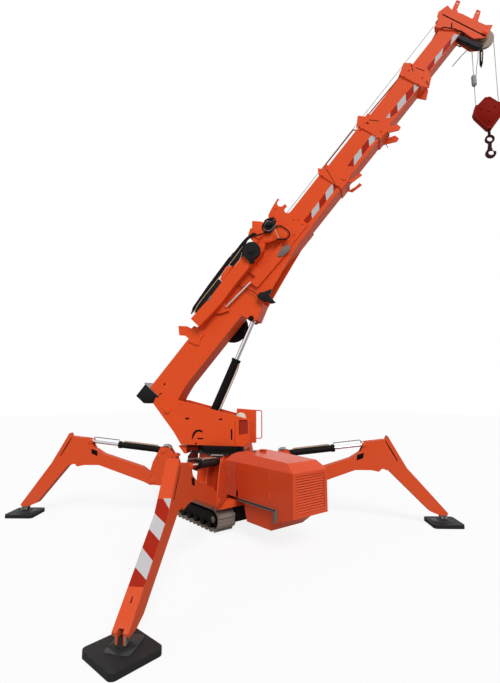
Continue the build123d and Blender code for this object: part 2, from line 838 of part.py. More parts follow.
with BuildPart() as luff_rod:
    pipe(luff_at((luff_rod_tail, 0, 0)), luff_at((luff_length - 10, 0, 0)), luff_rod_radius, sides=24)
    pin(luff_plane, (luff_length, 0), luff_rod_radius + 3, -eye_half, eye_half)
save(luff_rod, "luff_rod")

# Pieces carried by the boom base
with BuildPart() as winch:
    for low, high, radius in ((0, 14, winch_radius), (14, 126, winch_radius * 0.72), (126, 140, winch_radius)):
        start = -base_half - seat_gap - high
        pin(boom_side, (winch_a, winch_p), radius, start, start + high - low, sides=32)
save(winch, "winch")

tail_plate_front = tail_a - seat_gap
tail_plate_rear = tail_plate_front - tail_plate_thickness
with BuildPart() as boom_tail_plate:
    slab(
        boom_side,
        [(tail_plate_rear, base_low + 240), (tail_plate_front, base_low + 240), (tail_plate_front, 505), (tail_plate_rear, 505)],
        10 - base_half,
        base_half - 10,
    )
save(boom_tail_plate, "boom_tail_plate")

box_front = tail_plate_rear - seat_gap
with BuildPart() as control_box:
    slab(
        boom_side,
        [(box_front, 262), (box_front, 490), (box_front - 214, 490), (box_front - 214, 330), (box_front - 160, 262)],
        20 - base_half,
        base_half - 20,
    )
    slab(
        boom_side,
        [(box_front - 199, 395), (box_front - 159, 395), (box_front - 159, 455), (box_front - 199, 455)],
        -base_half,
        base_half,
        mode=Mode.SUBTRACT,
    )
save(control_box, "control_box")

# Stowed jib on the near side: box beam with a foot plate, an inner length and the blocks that hold them
jib_inside = base_half + 20
jib_outside = jib_inside + 100
jib_beam_outline = [(1000, 335), (1013, 500), (1392, 470), (2000, 478), (2330, 445), (2420, 330),
                    (2330, 290), (1708, 302), (1439, 292)]
jib_foot_outline = [(983, 312), (1013, 500), (1442, 474), (1470, 292), (1430, 168), (1313, 248), (1265, 322)]
jib_inner_outline = [(1898, 60), (1898, 175), (2560, 190), (2520, 36)]
with BuildPart() as jib_beam:
    slab(boom_side, jib_beam_outline, jib_inside, jib_outside)
    slab(boom_side, jib_foot_outline, jib_inside, jib_inside + 14)
    slab(boom_side, [(2378, 605), (2330, 440), (2420, 420), (2500, 560), (2470, 640)], jib_inside + 30, jib_outside - 20)
    slab(boom_side, jib_inner_outline, base_half + seat_gap, jib_inside + 16)
    slab(boom_side, [(2000, 170), (2120, 170), (2120, 310), (2000, 310)], base_half + seat_gap, jib_inside + 14)
    for a in (1100, 2260):
        slab(boom_side, [(a, 335), (a + 90, 335), (a + 90, 385), (a, 385)], base_half + seat_gap, jib_inside + 1)
save(jib_beam, "jib_beam")

# Outriggers: four like legs, their outer parts pulled out by different lengths
# columns: name, post x, post side, azimuth, stretch, turn of the pad on its ball joint
legs = [
    ("front_right", post_front_x, -1, -leg_azimuth, 110, -31),
    ("front_left", post_front_x, 1, leg_azimuth, 0, 0),
    ("rear_right", post_rear_x, -1, leg_azimuth - 180, -95, 0),
    ("rear_left", post_rear_x, 1, 180 - leg_azimuth, 0, 0),
]
pr, pz = leg_pivot_r, leg_pivot_z
hr, hz = leg_head_r, leg_head_z
bracket_outline = [
    (-50, beam_top + 30),
    (-50, 720),
    (leg_foot_r - 80, leg_foot_z + 46),
    (leg_foot_r + 40, leg_foot_z + 46),
    (pr + 10, 720),
    (pr + 60, pz + 60),
    (pr + 60, pz - 45),
    (pr - 90, pz - 60),
]
slot_outline = [(hr - 90, hz - 95), (hr + 95, hz - 80), (hr + 95, hz + 115), (hr - 175, hz + 115), (hr - 175, hz - 35)]
leg_vector = Vector(leg_head_r - leg_foot_r, leg_head_z - leg_foot_z)
leg_length = leg_vector.length
leg_tilt = math.degrees(math.atan2(leg_vector.Y, leg_vector.X))
bracket_inside = leg_half + 4
bracket_outside = bracket_inside + side_plate
fork_inside = tongue_half + seat_gap
fork_outside = fork_inside + fork_thickness
for name, post_x, side, azimuth, stretch, pad_turn in legs:
    leg_plane = upright(azimuth, post_x, side * post_y)
    reach = pad_reach + stretch
    with BuildPart() as leg_bracket:
        twin_plates(leg_plane, bracket_outline, bracket_inside, bracket_outside)
        for z in (beam_top + 30, king_top - 38):
            slab(leg_plane, [(-50, z), (105, z), (105, z + 22), (-50, z + 22)], -bracket_inside - 1, bracket_inside + 1)
        slab(
            leg_plane,
            [(80, beam_top + 30), (95, beam_top + 30), (95, king_top - 16), (80, king_top - 16)],
            -bracket_inside - 1,
            bracket_inside + 1,
        )
        with BuildSketch(Plane.XY.offset(beam_top)):
            with Locations((post_x, side * post_y)):
                RegularPolygon(king_radius + running_gap, 16, major_radius=False)
        extrude(amount=king_top, mode=Mode.SUBTRACT)
        pin(leg_plane, (pr, pz), leg_pin_radius, -bracket_outside - 8, bracket_outside + 8)
        pin(leg_plane, (leg_foot_r, leg_foot_z), foot_pin_radius, -bracket_outside - 8, bracket_outside + 8, sides=12)
    save(leg_bracket, "bracket_" + name)

    # Cranked leg: pivot end, knee with the rod's slot, long foot with a fork for the pad
    arm_outline = [
        (pr - 50, pz - 30),
        (pr + 40, pz - 60),
        (pr + 130, pz - 15),
        (hr - 129, hz - 313),
        (hr + 73, hz - 314),
        (hr + 162, hz - 332),
        (hr + 290, hz - 308),
        (reach - 175, ankle_z + 70),
        (reach - 64, ankle_z + 27),
        (reach + 31, ankle_z + 27),
        (reach + 40, ankle_z + 52),
        (hr + 525, hz - 285),
        (hr + 300, hz + 115),
        (hr + 280, hz + 63),
        (hr + 265, hz + 71),
        (hr + 15, hz + 41),
        (hr - 55, hz - 88),
        (hr - 185, hz - 167),
        (pr + 153, pz + 175),
        (pr + 37, pz + 90),
        (pr - 50, pz + 40),
    ]
    fork_outline = [
        (reach - 62, ankle_z + 60),
        (reach - 34, ankle_z - 24),
        (reach + 30, ankle_z - 24),
        (reach + 36, ankle_z + 60),
    ]
    with BuildPart() as leg_arm:
        slab(leg_plane, arm_outline, -leg_half, leg_half)
        twin_plates(leg_plane, fork_outline, fork_inside, fork_outside)
        slab(leg_plane, slot_outline, -36, 36, mode=Mode.SUBTRACT)
        pin_hole(leg_plane, (pr, pz), leg_pin_radius, -leg_half - 1, leg_half + 1)
        with BuildSketch(leg_plane.offset(-leg_half - 1)) as notch:
            with Locations((hr + 225, hz - 345)):
                RegularPolygon(48, 16)
        extrude(notch.sketch, amount=2 * leg_half + 2, mode=Mode.SUBTRACT)
        slab(
            leg_plane,
            [(reach - 70, ankle_z + 20), (reach + 45, ankle_z + 20), (reach + 45, ankle_z + 70), (reach - 70, ankle_z + 70)],
            -fork_inside,
            fork_inside,
            mode=Mode.SUBTRACT,
        )
        pin(leg_plane, (reach, ankle_z), ankle_radius, -fork_outside - 4, fork_outside + 4, sides=12)
    save(leg_arm, "leg_" + name)

    # Ground pad with a tongue in the leg's fork
    pad_at = turn(azimuth, reach, 0)
    pad_plane = Plane(
        origin=(post_x + pad_at[0], side * post_y + pad_at[1], 0),
        x_dir=(math.cos(math.radians(azimuth + pad_turn)), math.sin(math.radians(azimuth + pad_turn)), 0),
        z_dir=(0, 0, 1),
    )
    with BuildPart() as leg_pad:
        with BuildSketch(pad_plane):
            RectangleRounded(pad_size, pad_size, 40)
        extrude(amount=pad_thickness)
        with BuildSketch(pad_plane.offset(pad_thickness)):
            Rectangle(150, 150)
        extrude(amount=ankle_z - 34 - pad_thickness, taper=45)
        slab(
            leg_plane,
            [(reach - 40, pad_thickness), (reach + 40, pad_thickness), (reach + 21, ankle_z + 14), (reach + 10, ankle_z + 18),
             (reach - 10, ankle_z + 18), (reach - 21, ankle_z + 14)],
            -tongue_half,
            tongue_half,
        )
        pin_hole(leg_plane, (reach, ankle_z), ankle_radius, -tongue_half - 1, tongue_half + 1, sides=12)
    save(leg_pad, "pad_" + name)

    cylinder_plane = tilted(leg_plane, (leg_foot_r, leg_foot_z), leg_tilt)
    at = cylinder_plane.from_local_coords
    with BuildPart() as leg_barrel:
        pipe(at((25, 0, 0)), at((leg_barrel_length, 0, 0)), leg_barrel_radius, sides=24)
        pin(cylinder_plane, (0, 0), 34, -bracket_inside + 6, bracket_inside - 6, sides=12)
        pin_hole(cylinder_plane, (0, 0), foot_pin_radius, -bracket_inside, bracket_inside, sides=12)
        pipe(
            at((60, 0, 0)),
            at((leg_barrel_length + 1, 0, 0)),
            leg_rod_radius + running_gap,
            sides=12,
            mode=Mode.SUBTRACT,
        )
    save(leg_barrel, "barrel_" + name)

    with BuildPart() as leg_rod:
        pipe(at((leg_rod_tail, 0, 0)), at((leg_length - 10, 0, 0)), leg_rod_radius, sides=24)
        pin(cylinder_plane, (leg_length, 0), eye_half, -eye_half, eye_half)
    save(leg_rod, "rod_" + name)
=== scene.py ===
import bpy
import json
import math
from mathutils import Matrix, Vector


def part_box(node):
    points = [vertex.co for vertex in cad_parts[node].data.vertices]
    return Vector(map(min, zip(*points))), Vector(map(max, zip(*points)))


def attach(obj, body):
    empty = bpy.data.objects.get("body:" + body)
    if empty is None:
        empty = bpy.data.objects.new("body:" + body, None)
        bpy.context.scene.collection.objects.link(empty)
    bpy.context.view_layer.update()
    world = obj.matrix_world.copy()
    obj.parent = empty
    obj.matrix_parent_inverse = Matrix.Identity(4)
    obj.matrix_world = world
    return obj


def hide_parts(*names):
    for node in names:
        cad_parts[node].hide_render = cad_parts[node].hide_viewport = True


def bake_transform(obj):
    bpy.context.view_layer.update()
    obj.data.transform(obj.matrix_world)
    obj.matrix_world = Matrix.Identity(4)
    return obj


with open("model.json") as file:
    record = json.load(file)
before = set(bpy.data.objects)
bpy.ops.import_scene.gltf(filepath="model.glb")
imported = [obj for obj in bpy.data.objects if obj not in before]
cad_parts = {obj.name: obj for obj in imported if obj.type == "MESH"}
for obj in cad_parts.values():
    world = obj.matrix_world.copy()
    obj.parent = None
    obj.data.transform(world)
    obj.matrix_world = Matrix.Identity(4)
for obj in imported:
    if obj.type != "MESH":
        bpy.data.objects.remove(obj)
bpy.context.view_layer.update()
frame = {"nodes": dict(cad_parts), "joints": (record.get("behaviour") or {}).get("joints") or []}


def link(tree, *pairs):
    """Joins sockets of a node tree, each output to an input."""
    for source, target in pairs:
        tree.links.new(source, target)



def emptied(tree, *kinds):
    """Clears a node tree and gives it new nodes."""
    tree.nodes.clear()
    return [tree.nodes.new("ShaderNode" + kind) for kind in kinds]


# Camera: at eye height in front of the engine housing, looking slightly up along the machine
camera_place = Vector((4.7589, -3.3061, 1.650))
camera_look = Vector((-0.77787, 0.61653, 0.12171))
focal_pixels = 420.0
image_height = 683.0
sensor = 36.0
camera_data = bpy.data.cameras.new("camera")
camera_data.sensor_width = sensor
camera_data.lens = sensor * focal_pixels / image_height
camera = bpy.data.objects.new("camera", camera_data)
camera.location = camera_place
camera.rotation_euler = camera_look.to_track_quat("-Z", "Y").to_euler()
bpy.context.collection.objects.link(camera)
bpy.context.scene.camera = camera
bpy.context.scene.view_settings.view_transform = "Standard"

# Studio: one broad soft key light from the right of the camera, a weak one from the left, pale surround
for name, azimuth, elevation, strength, spread in (
    ("key_light", -20.0, 42.0, 2.12, 25.0),
    ("left_light", -100.0, 30.0, 0.3, 40.0),
):
    lamp = bpy.data.lights.new(name, "SUN")
    lamp.energy = strength
    lamp.angle = math.radians(spread)
    lamp_object = bpy.data.objects.new(name, lamp)
    a, e = math.radians(azimuth), math.radians(elevation)
    towards = Vector((math.cos(a) * math.cos(e), math.sin(a) * math.cos(e), math.sin(e)))
    lamp_object.rotation_euler = towards.to_track_quat("Z", "Y").to_euler()
    bpy.context.collection.objects.link(lamp_object)

world = bpy.data.worlds.new("studio")
bpy.context.scene.world = world
world.use_nodes = True
sky = world.node_tree
sky_out, sky_mix, sky_path, sky_seen, soft_sky, white_sky = emptied(
    sky, "OutputWorld", "MixShader", "LightPath", "Math", "Background", "Background")
sky_seen.operation = "MAXIMUM"
soft_sky.inputs["Color"].default_value = (0.95, 0.97, 1.0, 1)
soft_sky.inputs["Strength"].default_value = 0.35
white_sky.inputs["Color"].default_value = (1, 1, 1, 1)
white_sky.inputs["Strength"].default_value = 1.0
link(
    sky,
    (sky_path.outputs["Is Camera Ray"], sky_seen.inputs[0]),
    (sky_path.outputs["Is Glossy Ray"], sky_seen.inputs[1]),
    (sky_seen.outputs["Value"], sky_mix.inputs["Fac"]),
    (soft_sky.outputs["Background"], sky_mix.inputs[1]),
    (white_sky.outputs["Background"], sky_mix.inputs[2]),
    (sky_mix.outputs["Shader"], sky_out.inputs["Surface"]),
)

# Floor: pale, with faint soft shadows; darker to the light that bounces than to the camera
floor_size = 60.0
floor_fade = 0.86
bounced_grey = (0.5, 0.5, 0.5, 1)
seen_white = (0.98, 0.98, 0.98, 1)
bpy.ops.object.select_all(action="DESELECT")
bpy.ops.mesh.primitive_plane_add(size=floor_size, location=(0, 0, 0))
floor = bpy.context.active_object
floor.name = "floor"
floor_paint = bpy.data.materials.new("pale_floor")
floor_paint.use_nodes = True
floor_tree = floor_paint.node_tree
floor_out, floor_mix, floor_path, matt, glow, fade, floor_tone = emptied(
    floor_tree, "OutputMaterial", "MixShader", "LightPath", "BsdfDiffuse", "Emission", "Math", "Mix")
fade.operation = "MULTIPLY"
fade.inputs[1].default_value = floor_fade
floor_tone.data_type = "RGBA"
floor_tone.inputs[6].default_value = bounced_grey
floor_tone.inputs[7].default_value = seen_white
glow.inputs["Color"].default_value = (1, 1, 1, 1)
link(
    floor_tree,
    (floor_path.outputs["Is Camera Ray"], floor_tone.inputs[0]),
    (floor_tone.outputs[2], matt.inputs["Color"]),
    (floor_path.outputs["Is Camera Ray"], fade.inputs[0]),
    (fade.outputs["Value"], floor_mix.inputs["Fac"]),
    (matt.outputs["BSDF"], floor_mix.inputs[1]),
    (glow.outputs["Emission"], floor_mix.inputs[2]),
    (floor_mix.outputs["Shader"], floor_out.inputs["Surface"]),
)
floor.data.materials.append(floor_paint)


# Finishes: the three effects that all of them share are node groups, grain, rubbed edges and settled dust.
def effect(name, inputs, outputs):
    """Node group with the named sockets, and its two end nodes."""
    group = bpy.data.node_groups.new(name, "ShaderNodeTree")
    for label, value in inputs:
        socket = group.interface.new_socket(label, in_out="INPUT", socket_type="NodeSocketFloat")
        socket.default_value = value
    for label, kind in outputs:
        group.interface.new_socket(label, in_out="OUTPUT", socket_type=kind)
    return group, group.nodes.new("NodeGroupInput"), group.nodes.new("NodeGroupOutput")


def calc(tree, operation, first, second, clamp=False):
    """Math node on two numbers or sockets."""
    node = tree.nodes.new("ShaderNodeMath")
    node.operation = operation
    node.use_clamp = clamp
    for socket, value in zip(node.inputs, (first, second)):
        if isinstance(value, (int, float)):
            socket.default_value = value
        else:
            tree.links.new(value, socket)
    return node.outputs["Value"]


def noise(tree, scale, detail):
    """Noise over the object's own coordinates."""
    place = tree.nodes.new("ShaderNodeTexCoord")
    node = tree.nodes.new("ShaderNodeTexNoise")
    node.inputs["Detail"].default_value = detail
    if isinstance(scale, (int, float)):
        node.inputs["Scale"].default_value = scale
    else:
        tree.links.new(scale, node.inputs["Scale"])
    tree.links.new(place.outputs["Object"], node.inputs["Vector"])
    return node.outputs["Fac"]


paint_grain, ends_in, ends_out = effect(
    "paint_grain", [("Patch Scale", 2.5), ("Grain Scale", 260.0)],
    [("Patch", "NodeSocketFloat"), ("Grain", "NodeSocketFloat")]
)
paint_grain.links.new(noise(paint_grain, ends_in.outputs["Patch Scale"], 3), ends_out.inputs["Patch"])
paint_grain.links.new(noise(paint_grain, ends_in.outputs["Grain Scale"], 2), ends_out.inputs["Grain"])

rubbed_edges, ends_in, ends_out = effect(
    "rubbed_edges", [("Radius", 0.004), ("Reach", 5.0)], [("Edge", "NodeSocketFloat"), ("Normal", "NodeSocketVector")]
)
rounded = rubbed_edges.nodes.new("ShaderNodeBevel")
rounded.samples = 4
flat = rubbed_edges.nodes.new("ShaderNodeNewGeometry")
turn = rubbed_edges.nodes.new("ShaderNodeVectorMath")
turn.operation = "DOT_PRODUCT"
rubbed_edges.links.new(ends_in.outputs["Radius"], rounded.inputs["Radius"])
rubbed_edges.links.new(rounded.outputs["Normal"], turn.inputs[0])
rubbed_edges.links.new(flat.outputs["Normal"], turn.inputs[1])
bend = calc(rubbed_edges, "SUBTRACT", 1.0, turn.outputs["Value"])
bend = calc(rubbed_edges, "SUBTRACT", bend, 0.03)
bend = calc(rubbed_edges, "MULTIPLY", bend, ends_in.outputs["Reach"], clamp=True)
patchy = calc(rubbed_edges, "MULTIPLY", calc(rubbed_edges, "SUBTRACT", noise(rubbed_edges, 14.0, 4), 0.42), 5.0,
              clamp=True)
rubbed_edges.links.new(calc(rubbed_edges, "MULTIPLY", bend, patchy), ends_out.inputs["Edge"])
rubbed_edges.links.new(rounded.outputs["Normal"], ends_out.inputs["Normal"])

dust_height = 1.1
settled_dust, ends_in, ends_out = effect("settled_dust", [("Height", dust_height)], [("Dust", "NodeSocketFloat")])
place = settled_dust.nodes.new("ShaderNodeTexCoord")
split = settled_dust.nodes.new("ShaderNodeSeparateXYZ")
faces = settled_dust.nodes.new("ShaderNodeNewGeometry")
up = settled_dust.nodes.new("ShaderNodeSeparateXYZ")
settled_dust.links.new(place.outputs["Object"], split.inputs["Vector"])
settled_dust.links.new(faces.outputs["Normal"], up.inputs["Vector"])
depth = calc(settled_dust, "SUBTRACT", ends_in.outputs["Height"], split.outputs["Z"])
low = calc(settled_dust, "DIVIDE", depth, dust_height, clamp=True)
lying = calc(settled_dust, "ADD", calc(settled_dust, "MULTIPLY", up.outputs["Z"], 0.6, clamp=True), 0.4)
cloudy = calc(settled_dust, "MULTIPLY", calc(settled_dust, "SUBTRACT", noise(settled_dust, 5.0, 6), 0.3), 2.2,
              clamp=True)
settled_dust.links.new(
    calc(settled_dust, "MULTIPLY", calc(settled_dust, "MULTIPLY", low, lying), cloudy), ends_out.inputs["Dust"]
)


def blended(tree, factor, first, second):
    """Colour mix; a colour is three numbers or a socket."""
    node = tree.nodes.new("ShaderNodeMix")
    node.data_type = "RGBA"
    tree.links.new(factor, node.inputs[0])
    for socket, colour in ((node.inputs[6], first), (node.inputs[7], second)):
        if isinstance(colour, tuple):
            socket.default_value = (*colour, 1)
        else:
            tree.links.new(colour, socket)
    return node.outputs[2]


dust_colour = (0.36, 0.29, 0.22)
patch_shade = 0.72
roughness_spread = 0.14
coat_roughness = 0.18


def surface(name, colour, rubbed, rough, metal=0.0, gloss=0.16, coat=0.0,
            patch=0.25, scuff=0.35, dust=0.18, grain=0.03, rounding=0.003):
    """Finish with cloudy colour, rubbed edges, dust near the ground and a fine grain."""
    material = bpy.data.materials.new(name)
    material.use_nodes = True
    tree = material.node_tree
    shader = tree.nodes["Principled BSDF"]
    parts = {}
    for group in (paint_grain, rubbed_edges, settled_dust):
        parts[group.name] = tree.nodes.new("ShaderNodeGroup")
        parts[group.name].node_tree = group
    parts["rubbed_edges"].inputs["Radius"].default_value = rounding
    cloud = calc(tree, "MULTIPLY", parts["paint_grain"].outputs["Patch"], patch)
    edge = calc(tree, "MULTIPLY", parts["rubbed_edges"].outputs["Edge"], scuff)
    dirt = calc(tree, "MULTIPLY", parts["settled_dust"].outputs["Dust"], dust)
    darker = tuple(patch_shade * c for c in colour)
    tint = blended(tree, cloud, colour, darker)
    tint = blended(tree, edge, tint, rubbed)
    tint = blended(tree, dirt, tint, dust_colour)
    tree.links.new(tint, shader.inputs["Base Color"])
    spread = calc(tree, "MULTIPLY", calc(tree, "SUBTRACT", parts["paint_grain"].outputs["Patch"], 0.5),
                  roughness_spread)
    spread = calc(tree, "ADD", calc(tree, "ADD", spread, dirt), rough)
    tree.links.new(spread, shader.inputs["Roughness"])
    relief = tree.nodes.new("ShaderNodeBump")
    relief.inputs["Strength"].default_value = grain
    relief.inputs["Distance"].default_value = 0.001
    tree.links.new(parts["paint_grain"].outputs["Grain"], relief.inputs["Height"])
    tree.links.new(parts["rubbed_edges"].outputs["Normal"], relief.inputs["Normal"])
    tree.links.new(relief.outputs["Normal"], shader.inputs["Normal"])
    shader.inputs["Metallic"].default_value = metal
    shader.inputs["Specular IOR Level"].default_value = gloss
    shader.inputs["Coat Weight"].default_value = coat
    shader.inputs["Coat Roughness"].default_value = coat_roughness
    return material


def finish(material, *names):
    """Gives nodes of the frame their material."""
    for name in names:
        for slot in frame["nodes"][name].material_slots:
            slot.material = material


# Chassis, cross beams and pedestal: welded steel plate in the crane's orange enamel; the low chassis box and the
# slewing ring in black, the deck plate in dark grey. Their solids come from the frame and only get their finish here.
crane_orange = surface("crane_orange", (0.84, 0.09, 0.018), (0.9, 0.3, 0.12), 0.45, gloss=0.12, scuff=0.22,
                       grain=0.015, rounding=0.0015)
chassis_black = surface("chassis_black", (0.008, 0.007, 0.007), (0.06, 0.05, 0.045), 0.55, gloss=0.06, dust=0.12)
deck_grey = surface("deck_grey", (0.03, 0.028, 0.027), (0.12, 0.11, 0.1), 0.55, gloss=0.08, dust=0.15)
finish(crane_orange, "cross_beam_front", "cross_beam_rear", "pedestal")
finish(chassis_black, "chassis_frame", "slew_ring")
finish(deck_grey, "deck_plate")


# Bolts of the slewing ring: hexagon heads round the upper race, steel, screwed down from above.
# One head is turned from a hexagon and copied round the ring.
def chosen(*pieces):
    """Selects just these pieces; the first is the active one."""
    bpy.ops.object.select_all(action="DESELECT")
    for piece in pieces:
        piece.select_set(True)
    bpy.context.view_layer.objects.active = pieces[0]


def circle(name, sides, radius=1.0, fill="NGON"):
    """New circle, metres, from which a piece is made."""
    bpy.ops.object.select_all(action="DESELECT")
    bpy.ops.mesh.primitive_circle_add(vertices=sides, radius=radius, fill_type=fill)
    piece = bpy.context.active_object
    piece.name = name
    return piece


def open_mesh():
    """Edit mode with the whole mesh selected."""
    bpy.ops.object.mode_set(mode="EDIT")
    bpy.ops.mesh.select_all(action="SELECT")


def close_mesh(weld=0.0):
    """Object mode again, normals outwards and points nearer than weld joined."""
    bpy.ops.mesh.select_all(action="SELECT")
    if weld:
        bpy.ops.mesh.remove_doubles(threshold=weld)
    bpy.ops.mesh.normals_make_consistent(inside=False)
    bpy.ops.object.mode_set(mode="OBJECT")


def turned(name, steps, sides=32):
    """Closed turned piece about its own z: radius and height of each step, millimetres."""
    radius, height = steps[0]
    piece = circle(name, sides, radius / 1000)
    open_mesh()
    bpy.ops.transform.translate(value=(0, 0, height / 1000))
    for next_radius, next_height in steps[1:]:
        bpy.ops.mesh.extrude_region_move(TRANSFORM_OT_translate={"value": (0, 0, (next_height - height) / 1000)})
        factor = next_radius / radius
        bpy.ops.transform.resize(value=(factor, factor, 1), center_override=(0, 0, next_height / 1000))
        radius, height = next_radius, next_height
    close_mesh()
    return piece


def joined(pieces, name):
    """Several meshes as one piece."""
    chosen(*pieces)
    if len(pieces) > 1:
        bpy.ops.object.join()
    pieces[0].name = name
    return pieces[0]


def copied(piece, places):
    """The piece repeated at each place, as one piece."""
    name = piece.name
    twins = []
    for matrix in places:
        twin = piece.copy()
        twin.data = piece.data.copy()
        twin.data.transform(matrix)
        bpy.context.collection.objects.link(twin)
        twins.append(twin)
    bpy.data.objects.remove(piece)
    return joined(twins, name)


def at(x, y, z, flipped=False):
    """Place in a piece's own axes, millimetres; flipped faces the other side."""
    matrix = Matrix.Translation((x / 1000, y / 1000, z / 1000))
    if flipped:
        matrix = matrix @ Matrix.Rotation(math.pi, 4, "X")
    return matrix


def both_ends(x, y, level):
    """Places at the same point of the near and the far side, facing outwards."""
    return [at(x, y, level), at(x, y, -level, True)]


def ring(count, radius, height=0.0):
    """Places evenly spaced round a circle, millimetres."""
    turns = [i * 2 * math.pi / count for i in range(count)]
    return [at(radius * math.cos(turn), radius * math.sin(turn), height) for turn in turns]


def mounted(piece, place, body, slot, material, smooth=32):
    """Fixes a piece: place in its mesh, material, smooth shading, and the body it moves with;
    for one given two bodies and two points across a joint, its place is baked into the mesh and these are not used."""
    piece.data.transform(place)
    piece.data.materials.clear()
    piece.data.materials.append(material)
    chosen(piece)
    bpy.ops.object.shade_smooth_by_angle(angle=math.radians(smooth))
    if isinstance(body, str):
        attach(piece, body)
    else:
        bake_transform(piece)
    return piece


def repeated(name, steps, sides, places, *mounting):
    """Turned piece at each of the places, mounted as one piece."""
    return mounted(copied(turned(name, steps, sides), places), *mounting)


upright_place = Matrix.Identity(4)
bolt_steel = surface("bolt_steel", (0.16, 0.15, 0.14), (0.4, 0.4, 0.4), 0.42, metal=0.8, dust=0.2)
race_radius, race_top = 297, 872
repeated("ring_bolts", [(9, 0), (9, 5), (7.5, 6.5)], 6, ring(30, race_radius, race_top), upright_place, "chassis",
         "steel", bolt_steel)

# Tracks: rubber belts with lugs, brown from dried mud, on black frames and rollers.
# Caps with bolts close the drive hub and the idler on each outer side.
belt_rubber = surface("belt_rubber", (0.25, 0.21, 0.18), (0.36, 0.31, 0.26), 0.8, gloss=0.1, patch=0.8, scuff=0.5,
                      dust=0.3, grain=0.5, rounding=0.006)
finish(belt_rubber, "track_left", "track_right")
finish(chassis_black, "track_frame_left", "track_frame_right")
axle_height = 162
axle_x = 420
drive_face, idler_face = 410, 423
track_sides = ((-1, "right"), (1, "left"))
for side, name in track_sides:
    outwards = Matrix.Rotation(math.radians(90 if side < 0 else -90), 4, "X")
    drive_cap = turned("drive_cap_" + name, [(58, 0), (58, 5), (44, 7), (30, 16), (14, 18)], sides=32)
    drive_place = at(-axle_x, side * drive_face, axle_height) @ outwards
    mounted(drive_cap, drive_place, "chassis", "dark", chassis_black)
    repeated("drive_bolts_" + name, [(6, 0), (6, 4), (5, 5)], 6, ring(10, 51, 5), drive_place, "chassis", "steel",
             bolt_steel)
    idler_cap = turned("idler_cap_" + name, [(38, 0), (38, 5), (24, 8), (20, 12)], sides=24)
    mounted(idler_cap, at(axle_x, side * idler_face, axle_height) @ outwards, "chassis", "steel", bolt_steel)


# Engine housing: folded sheet metal in orange with an open louvre, hinged side doors and a belly pan.
# Door gaps, latches and filler cap are laid on its skin, and a black strip over the step rails is painted shadow.
def plate(name, outline, low, high, edge=0.0):
    """Flat plate of the outline between two levels of its own axes, millimetres, its edges eased."""
    piece = circle(name, len(outline))
    for vertex, (x, y) in zip(piece.data.vertices, outline):
        vertex.co = (x / 1000, y / 1000, low / 1000)
    open_mesh()
    bpy.ops.mesh.extrude_region_move(TRANSFORM_OT_translate={"value": (0, 0, (high - low) / 1000)})
    close_mesh()
    if edge:
        eased = piece.modifiers.new("eased_edges", "BEVEL")
        eased.width = edge / 1000
        eased.segments = 2
        eased.limit_method = "ANGLE"
        eased.angle_limit = math.radians(40)
        bpy.ops.object.modifier_apply(modifier=eased.name)
    return piece


def layer(side, level, thickness):
    """Lower and upper level of a thin layer on the near (1) or far (-1) side."""
    return sorted((side * level, side * (level + thickness)))


def both_faces(name, outline, level, thickness, edge=0.0):
    """The same plate on the near and the far side."""
    return [plate(name, outline, *layer(side, level, thickness), edge=edge) for side in (1, -1)]


def strip(start, end, width):
    """Outline of a straight strip between two points, millimetres."""
    along_x, along_y = end[0] - start[0], end[1] - start[1]
    length = math.hypot(along_x, along_y)
    x, y = -along_y * width / 2 / length, along_x * width / 2 / length
    return [(start[0] + x, start[1] + y), (start[0] - x, start[1] - y), (end[0] - x, end[1] - y),
            (end[0] + x, end[1] + y)]


def gland(name, outer, inner, low, high):
    """Ring about its own z with a through hole, millimetres."""
    piece = circle(name, 32, outer / 1000, "NOTHING")
    open_mesh()
    bpy.ops.transform.translate(value=(0, 0, low / 1000))
    for rise, factor in ((high - low, 1), (0, inner / outer), (low - high, 1), (0, outer / inner)):
        bpy.ops.mesh.extrude_region_move(TRANSFORM_OT_translate={"value": (0, 0, rise / 1000)})
        bpy.ops.transform.resize(value=(factor, factor, 1), center_override=(0, 0, 0))
    close_mesh(weld=0.00001)
    return piece
